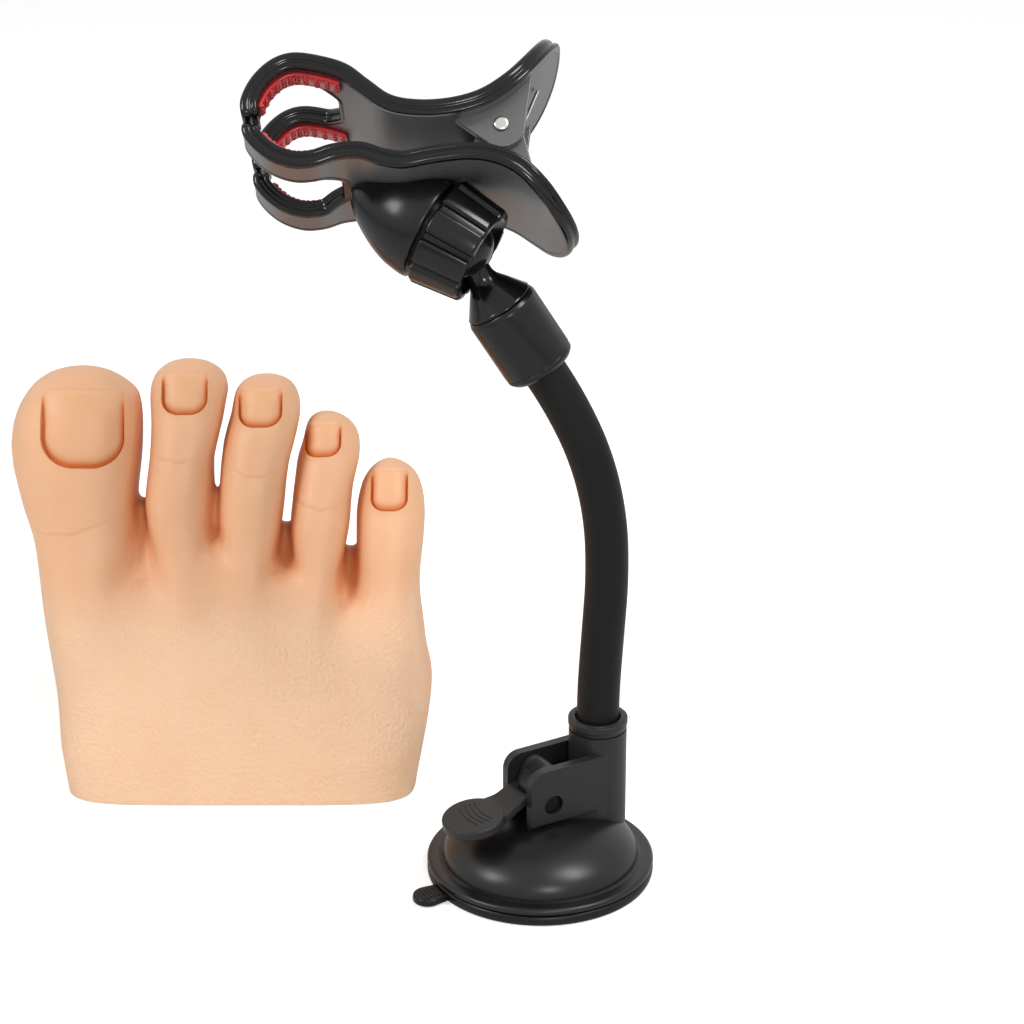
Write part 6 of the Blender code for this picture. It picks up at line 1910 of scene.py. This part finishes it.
@dataclass
class SprungClip:
    """The clip: two rimmed shells on a pin, a torsion spring and four red pads."""

    finishes: Finishes
    frames: HolderFrames
    trees: Trees
    reach: float = 64.0 * MM
    width: float = 46.0 * MM
    rim: float = 4.2 * MM
    plate: float = 2.2 * MM
    rim_width: float = 2.2 * MM
    bead_shares: tuple[float, float] = (0.42, 0.30)
    rim_step: tuple[float, float, float] = (0.15 * MM, 0.45 * MM, 0.17)
    inset_share: float = 0.55
    window: float = 22.0 * MM
    window_end: float = 12.0 * MM
    window_chamfer: float = 5.0 * MM
    window_reach: float = 40.0 * MM
    paddle_round: float = 24.0 * MM
    paddle_power: float = 2.1
    corner_radii: tuple[float, float, float] = (1.6 * MM, 2.6 * MM, 1.0 * MM)
    outline_step: float = 0.9 * MM
    plate_step: float = 1.2 * MM
    pin_radius: float = 1.45 * MM
    pin_head: float = 1.85 * MM
    ear: float = 2.2 * MM
    ear_outside: float = 17.2 * MM
    grip: float = 1.7 * MM
    grip_margin: float = 0.7 * MM
    grip_start: float = 5.0 * MM
    grip_end: float = 38.5 * MM
    lower_grip_end: float = 28.0 * MM
    stud_grid: tuple[int, int] = (11, 3)
    stud_margin: float = 1.3 * MM
    stud_radius: float = 0.70 * MM
    stud_rise: float = 0.75
    stud_seed: int = 3
    boss: tuple[float, float] = (2.9 * MM, 0.85 * MM)
    screw_place: float = -27.1 * MM
    screw_spacing: float = 11.0 * MM
    roof_height: float = 30.5 * MM
    lip: float = 0.1 * MM
    wire: float = 0.55 * MM
    coil: float = 3.6 * MM
    turns: int = 6
    pitch: float = 1.75 * MM
    leg_angles: tuple[float, float] = (20.0, -7.0)
    leg_reach: tuple[float, float] = (1.43, 2.6)
    notch: tuple[float, float, float] = (15.3 * MM, -7.0 * MM, 8.1 * MM)
    jaws: list[Jaw] = field(default_factory=list)

    def __post_init__(self) -> None:
        """List the two shells."""
        inner = self.ear_outside - self.ear - GAP
        self.jaws = [
            Jaw("upper_shell", UPPER_LINE_SHARES, 1, self.ear_outside, 6.0 * MM, (-0.220, 0.100),
                (-120.0, 0.0), Body.UPPER_JAW),
            Jaw("lower_shell", LOWER_LINE_SHARES, -1, inner, 5.0 * MM, (-0.141, 0.125),
                (150.0, 10.0), Body.CLIP)]

    def line(self, jaw: Jaw) -> Line:
        """The rim's outer line of a shell."""
        return Line([(u * self.reach, v * self.reach) for u, v in jaw.shares], 24)

    def half_width(self, line: Line, length: float) -> float:
        """Half the width of a shell at a length: full, then rounded off at the paddle."""
        full, power = self.width / 2, self.paddle_power
        into = length - (line.length - self.paddle_round)
        if into <= 0:
            return full
        return full * max(0.0, 1 - (into / self.paddle_round) ** power) ** (1 / power)

    def outline(self, line: Line) -> list[Vector]:
        """The shell's outline laid flat: length along it, and place across it.

        Args:
            line: the shell's side view.

        Returns:
            A closed loop with rounded corners and even, short steps.
        """
        window_end = line.length_at_x(-self.window_reach)
        full, slot, end = self.width / 2, self.window / 2, self.window_end / 2
        start = window_end - self.window_chamfer
        side = [(0.0, slot), (0.0, full), (line.length - self.paddle_round, full)]
        steps = 48
        for step in range(1, steps + 1):
            into = self.paddle_round * math.sin(math.pi / 2 * step / steps)
            length = line.length - self.paddle_round + into
            side.append((length, self.half_width(line, length)))
        loop = side + [(length, -across) for length, across in reversed(side)]
        loop += [(start, -slot), (window_end, -end), (window_end, end), (start, slot)]
        inner, outer, window = self.corner_radii
        corners = {(length, sign * across): radius for sign in (1, -1) for length, across, radius in
                   ((0.0, slot, inner), (0.0, full, outer), (start, slot, window), (window_end, end, window))}
        smooth: list[Vector] = []
        for index, corner in enumerate(loop):
            here = Vector(corner)
            before, after = Vector(loop[index - 1]), Vector(loop[(index + 1) % len(loop)])
            radius = corners.get(corner, 0.0)
            if not radius:
                smooth.append(here)
                continue
            first = here + (before - here).normalized() * radius
            last = here + (after - here).normalized() * radius
            smooth += bowed(first, here, last, 8)
        even: list[Vector] = []
        for first, last in zip(smooth, smooth[1:] + smooth[:1]):
            length = (last - first).length
            if length < GAP / 10:
                continue
            count = max(1, round(length / self.outline_step))
            even += [first.lerp(last, step / count) for step in range(count)]
        return even

    def bent(self, line: Line, side: int, place: Vector, depth: float) -> Vector:
        """A flat place bent onto the shell, in the clip's frame.

        Args:
            line: the shell's side view.
            side: 1 for the upper shell, -1 for the lower.
            place: length along and place across.
            depth: depth below the rim's outer line.

        Returns:
            The place in the clip's frame.
        """
        point, way = line.at(place.x)
        over = place.x - min(max(place.x, 0.0), line.length)
        point = point + way * over
        inward = Vector((way.y, -way.x)) * side * depth
        return Vector((point.x + inward.x, point.y + inward.y, place.y))

    def rim_mesh(self, line: Line, side: int) -> bpy.types.Mesh:
        """The thick rim: a rolled double step swept round the outline."""
        loop = self.outline(line)
        wide, tall = self.rim_width, self.rim
        bead_wide, bead_tall = self.bead_shares
        set_back, bulge, share = self.rim_step
        section = [(bead_wide * wide * (1 - math.cos(turn)), bead_tall * tall * (1 + math.sin(turn)))
                   for turn in (math.radians(15 * step) for step in range(-6, 5))]
        section += [(set_back + bulge * (1 - math.cos(turn)), tall * (1 - share + share * math.sin(turn)))
                    for turn in (math.radians(15 * step) for step in range(-5, 7))]
        section += [(wide - GAP, tall), (wide, tall - GAP), (wide, GAP * 1.3), (wide - GAP, 0.0)]
        points = [self.bent(line, side, place + inward * across, depth)
                  for place, inward in zip(loop, inward_ways(loop)) for across, depth in section]
        return mesh_from("rim", points, banded(len(section), len(loop), True), 60.0)

    def plate_span(self, side: int) -> tuple[float, float]:
        """Depths of a plate's two faces: both trays have their floor on the lower side."""
        if side > 0:
            return self.rim - self.plate - self.lip, self.rim - self.lip
        return self.lip, (self.rim + self.plate) / 2

    def plate_mesh(self, line: Line, side: int) -> bpy.types.Mesh:
        """The bent plate inside the rim."""
        loop = self.outline(line)
        edit = bmesh.new()
        inset = self.rim_width * self.inset_share
        spots = [place + inward * inset for place, inward in zip(loop, inward_ways(loop))]
        edit.faces.new([edit.verts.new((spot.x, spot.y, 0.0)) for spot in spots])
        for index in range(1, int(line.length / self.plate_step)):
            everything = edit.verts[:] + edit.edges[:] + edit.faces[:]
            bmesh.ops.bisect_plane(edit, geom=everything, plane_co=(index * self.plate_step, 0, 0),
                                   plane_no=(1, 0, 0))
        edit.verts.index_update()
        span = self.plate_span(side)
        flat = [Vector((vert.co.x, vert.co.y)) for vert in edit.verts]
        points = [self.bent(line, side, place, depth) for depth in span for place in flat]
        size = len(flat)
        faces = []
        for face in edit.faces:
            corners = [vert.index for vert in face.verts]
            faces += [corners, [corner + size for corner in reversed(corners)]]
        for edge in edit.edges:
            if edge.is_boundary:
                first, last = (vert.index for vert in edge.verts)
                faces.append([first, last, last + size, first + size])
        edit.free()
        return mesh_from("plate", points, faces, 40.0)

    def ear_meshes(self, jaw: Jaw, line: Line) -> list[bpy.types.Mesh]:
        """Both ears of a shell, bored for the pin."""
        root = []
        first, last = (line.length_at_x(share * self.reach) for share in jaw.ear_span)
        steps = 16
        for step in range(steps + 1):
            point, way = line.at(last + (first - last) * step / steps)
            root.append(tuple(point + Vector((way.y, -way.x)) * jaw.side * self.rim / 2))
        outline = root + arc((0, 0), jaw.ear_radius, *jaw.ear_turn, 32)
        ears = []
        for sign in (1, -1):
            limits = sorted((sign * jaw.ear_outside, sign * (jaw.ear_outside - self.ear)))
            ear = rounded_edges(prism("ear", outline, *limits), 0.35 * MM)
            hole = rod("bore", self.pin_radius + GAP, -self.width, self.width, 48)
            ears.append(combined("ear", ear, (Cut.AWAY, hole)))
        return ears

    def shell(self, jaw: Jaw) -> None:
        """One shell with its ears; the lower one is cut free of the nut."""
        line = self.line(jaw)
        # The rim is glossy black; the plate, the bosses and the ears take the plate finish, grey with painted
        # sheen.
        parts = [painted(self.rim_mesh(line, jaw.side), self.finishes.gloss),
                 painted(self.plate_mesh(line, jaw.side), self.finishes.plate)]
        if jaw.side < 0:
            radius, low, high = self.notch
            to_clip = self.frames.clip.inverted() @ self.frames.socket
            for index, part in enumerate(parts):
                tool = moved(rod("notch", radius, low, high, 96), to_clip)
                parts[index] = combined(part.name, part, (Cut.AWAY, tool))
            parts += [painted(boss, self.finishes.plate) for boss in self.bosses()]
        parts += [painted(ear, self.finishes.plate) for ear in self.ear_meshes(jaw, line)]
        mesh = gathered(jaw.name + "_finished", parts)
        finished(jaw.name + "_finished", moved(mesh, self.frames.clip), [], jaw.body.value, Slot.SATIN,
                 jaw.name)

    def pads(self, jaw: Jaw) -> None:
        """The two red pads of a shell, with rows of small studs on their faces."""
        line = self.line(jaw)
        low = self.window / 2 + self.rim_width + self.grip_margin
        high = self.width / 2 - self.rim_width - self.grip_margin
        depth = self.plate_span(jaw.side)[1] + self.lip
        face = (self.rim + self.plate) / 2 + GAP + self.grip
        steps = 60
        end = self.grip_end if jaw.side > 0 else self.lower_grip_end
        back, front = [], []
        for step in range(steps + 1):
            place = Vector((self.grip_start + (end - self.grip_start) * step / steps, 0.0))
            back.append(self.bent(line, jaw.side, place, depth).to_2d()[:])
            front.append(self.bent(line, jaw.side, place, face)[:2])
        for sign, title in ((1, "near"), (-1, "far")):
            limits = sorted((sign * low, sign * high))
            pad = rounded_edges(prism("pad", back + front[::-1], *limits), 0.3 * MM)
            field_mesh = self.stud_points(line, jaw.side, end, face, limits)
            studs = run_tree(self.trees.studs, field_mesh, "studs",
                             {"Radius": self.stud_radius, "Rise": self.stud_rise, "Seed": self.stud_seed,
                              "Material": self.finishes.red})
            name = "grip_%s_%s" % (jaw.name.split("_")[0], title)
            mesh = gathered(name, [painted(pad, self.finishes.red), studs])
            mesh.shade_smooth()
            mesh.set_sharp_from_angle(angle=math.radians(40))
            finished(name + "_finished", moved(painted(mesh, self.finishes.red), self.frames.clip), [],
                     jaw.body.value, Slot.RED, name)

    def stud_points(self, line: Line, side: int, end: float, depth: float,
                    limits: Sequence[float]) -> bpy.types.Mesh:
        """A grid of faces on a pad whose corners carry the studs."""
        (rows, columns), margin = self.stud_grid, self.stud_margin
        points = []
        for row in range(rows):
            length = self.grip_start + margin + (end - self.grip_start - 2 * margin) * row / (rows - 1)
            for column in range(columns):
                across = limits[0] + margin + (limits[1] - limits[0] - 2 * margin) * column / (columns - 1)
                points.append(self.bent(line, side, Vector((length, across)), depth))
        faces = []
        for row in range(rows - 1):
            for column in range(columns - 1):
                low = row * columns + column
                faces.append([low, low + 1, low + 1 + columns, low + columns])
        mesh = bpy.data.meshes.new("stud_points")
        mesh.from_pydata([tuple(point) for point in points], [], faces)
        return mesh

    def pin(self) -> None:
        """The plated pin with a domed head at each end."""
        end = self.ear_outside + GAP
        head = self.pin_head
        half = rounded([(self.pin_radius, end), (head, end), (head, end + 1.2 * GAP),
                        (head - 1.5 * GAP, end + 2 * GAP), (0.0, end + 2 * GAP)], 0.3 * MM, 4)
        profile = [(radius, -height) for radius, height in reversed(half)] + half
        mesh = moved(spun("hinge_pin_finished", profile, 64), self.frames.clip)
        finished("hinge_pin_finished", mesh, [self.finishes.nickel], Body.CLIP.value, Slot.STEEL, "hinge_pin")

    def spring(self) -> None:
        """The torsion spring: coiled round the pin, with a leg in each shell."""
        length = self.turns * self.pitch
        upper, lower = (self.line(jaw) for jaw in self.jaws)
        top_reach, low_reach = self.leg_reach
        top, top_way = upper.at(upper.length_at_x(self.coil * top_reach))
        low, low_way = lower.at(lower.length_at_x(self.coil * low_reach))
        under, over = (self.plate_span(side)[1] + self.wire + GAP for side in (1, -1))
        top = top + Vector((top_way.y, -top_way.x)) * under
        low = low + Vector((-low_way.y, low_way.x)) * over
        arrives, leaves = (math.radians(angle) for angle in self.leg_angles)
        route = [Vector((low.x, low.y, -length / 2))]
        total = self.turns * 36
        sweep = 2 * math.pi * self.turns + leaves - arrives
        for step in range(total + 1):
            angle = arrives + sweep * step / total
            route.append(Vector((self.coil * math.cos(angle), self.coil * math.sin(angle),
                                 -length / 2 + length * step / total)))
        route.append(Vector((top.x, top.y, length / 2)))
        mesh = self.trees.swept("torsion_spring_finished", placed(self.frames.clip, route), self.wire, 16,
                                self.finishes.wire)
        ends = placed(self.frames.clip, [(0, 0, -length / 2), (0, 0, length / 2)])
        bending("torsion_spring_finished", mesh, (Body.CLIP.value, Body.UPPER_JAW.value),
                "torsion_spring")

    def bell_roof(self) -> Outline:
        """What the lower shell takes off the bell, as an outline in the clip's plane."""
        line = self.line(self.jaws[1])
        edge = []
        steps = 78
        for step in range(steps + 1):
            point, way = line.at(line.length * (0.25 + 0.6 * step / steps))
            edge.append(tuple(point + Vector((way.y, -way.x)) * GAP))
        return edge + [(edge[-1][0], self.roof_height), (edge[0][0], self.roof_height)]

    def bosses(self) -> list[bpy.types.Mesh]:
        """Two low posts on the lower plate, under the heads of the screws."""
        line = self.line(self.jaws[1])
        point, way = line.at(line.length_at_x(self.screw_place))
        inward = Vector((-way.y, way.x))
        place = point + inward * (self.plate_span(-1)[1] - GAP)
        turn = Vector((0, 0, 1)).rotation_difference(Vector((*inward, 0))).to_matrix().to_4x4()
        radius, height = self.boss
        profile = rounded([(0.0, 0.0), (radius, 0.0), (radius, height), (0.0, height)], 0.25 * MM, 3)
        return [moved(spun("boss", profile, 48),
                      Matrix.Translation((*place, sign * self.screw_spacing / 2)) @ turn) for sign in (1, -1)]

    def screws(self) -> None:
        """Two pan-head screws, with a crossed recess, that hold the bell."""
        for index in (1, 2):
            name = "housing_screw_%d" % index
            finished(name + "_finished", bevelled(name, 0.2 * MM), [self.finishes.nickel], Body.CLIP.value,
                     Slot.STEEL, name)

    def build(self) -> None:
        """Make the clip and hand it to the frame."""
        for jaw in self.jaws:
            self.shell(jaw)
            self.pads(jaw)
        self.pin()
        self.spring()
        self.screws()


# Studio


@dataclass
class Studio:
    """Pale floor, soft boxes and the camera."""

    camera_place: Point = (76.4 * MM, -767.6 * MM, 412.3 * MM)
    camera_tilt: float = math.radians(66.5)
    lens: float = 105.47
    floor_colour: str = "F4F4F3"
    ambient: float = 0.30
    lift: float = 0.50
    floor_half: float = 6.0
    floor_drop: float = 0.2 * MM
    lamps: tuple[tuple[str, Point, tuple[float, float], float], ...] = (
        ("left_soft_box", (-0.88, -0.46, 0.88), (0.28, 0.42), 6.2),
        ("right_soft_box", (0.69, -0.40, 1.14), (0.34, 0.50), 8.6),
        ("front_soft_box", (0.26, -0.95, 0.50), (0.16, 0.16), 2.2))
    lamp_aim: Point = (20 * MM, 0.0, 90 * MM)

    def camera(self) -> None:
        """Camera at the photograph's viewing angle."""
        data = bpy.data.cameras.new("camera")
        data.lens = self.lens
        data.sensor_width = 36.0
        camera = bpy.data.objects.new("camera", data)
        camera.location = self.camera_place
        camera.rotation_euler = (self.camera_tilt, 0.0, 0.0)
        bpy.context.scene.collection.objects.link(camera)
        bpy.context.scene.camera = camera

    def seen_directly(self, tree: bpy.types.NodeTree) -> bpy.types.NodeSocket:
        """1 for rays from the camera, or seen in gloss or glass."""
        path = add_node(tree, "ShaderNodeLightPath")
        first = maths(tree, "MAXIMUM", path.outputs["Is Camera Ray"], path.outputs["Is Glossy Ray"])
        return maths(tree, "MAXIMUM", first, path.outputs["Is Transmission Ray"])

    def world(self) -> None:
        """White where it is seen, and dimmer as a light."""
        world = bpy.data.worlds.new("studio")
        world.use_nodes = True
        bpy.context.scene.world = world
        tree = world.node_tree
        strength = ranged(tree, self.seen_directly(tree), self.ambient, 1.0, 0.0, 1.0)
        feed(tree, tree.nodes["Background"], {"Color": (1.0, 1.0, 1.0, 1.0), "Strength": strength})

    def floor(self) -> None:
        """A wide pale floor that keeps the shadow."""
        half = self.floor_half
        mesh = mesh_from("floor", [(-half, -half, 0), (half, -half, 0), (half, half, 0), (-half, half, 0)],
                         [[0, 1, 2, 3]])
        material = bpy.data.materials.new("pale_backdrop_paper")
        material.use_nodes = True
        tree = material.node_tree
        path = add_node(tree, "ShaderNodeLightPath")
        glow = maths(tree, "MULTIPLY", path.outputs["Is Camera Ray"], self.lift)
        mesh.materials.append(dress(material, {"Base Color": linear(self.floor_colour), "Roughness": 0.9,
                                               "Specular IOR Level": 0.1,
                                               "Emission Color": (1.0, 1.0, 1.0, 1.0),
                                               "Emission Strength": glow}))
        plane = show("floor", mesh)
        plane.location.z = -self.floor_drop

    def lamp(self, name: str, place: Point, aim: Point, size: tuple[float, float], power: float) -> None:
        """Add one soft box.

        Args:
            name: the lamp's name.
            place: where it hangs.
            aim: what it points at.
            size: width and height.
            power: in watts.
        """
        data = bpy.data.lights.new(name, "AREA")
        data.shape = "RECTANGLE"
        data.size, data.size_y = size
        data.energy = power
        lamp = bpy.data.objects.new(name, data)
        lamp.location = place
        lamp.rotation_euler = (Vector(aim) - Vector(place)).to_track_quat("-Z", "Y").to_euler()
        bpy.context.scene.collection.objects.link(lamp)

    def build(self) -> None:
        """Set the stage."""
        self.camera()
        self.world()
        self.floor()
        for name, place, size, power in self.lamps:
            self.lamp(name, place, self.lamp_aim, size, power)
        bpy.context.scene.view_settings.view_transform = "Standard"


def main() -> None:
    """Build the studio and every sub-assembly."""
    logging.basicConfig(level=logging.INFO, format="%(message)s")
    Studio().build()
    finishes, frames, trees = Finishes(), HolderFrames(), Trees()
    PracticeFoot(finishes).build()
    SuctionBase(finishes, frames, trees).build()
    Gooseneck(finishes, frames, trees).build()
    clip = SprungClip(finishes, frames, trees)
    BallJoint(finishes, frames).build(clip.bell_roof())
    clip.build()


if __name__ == "__main__":
    main()
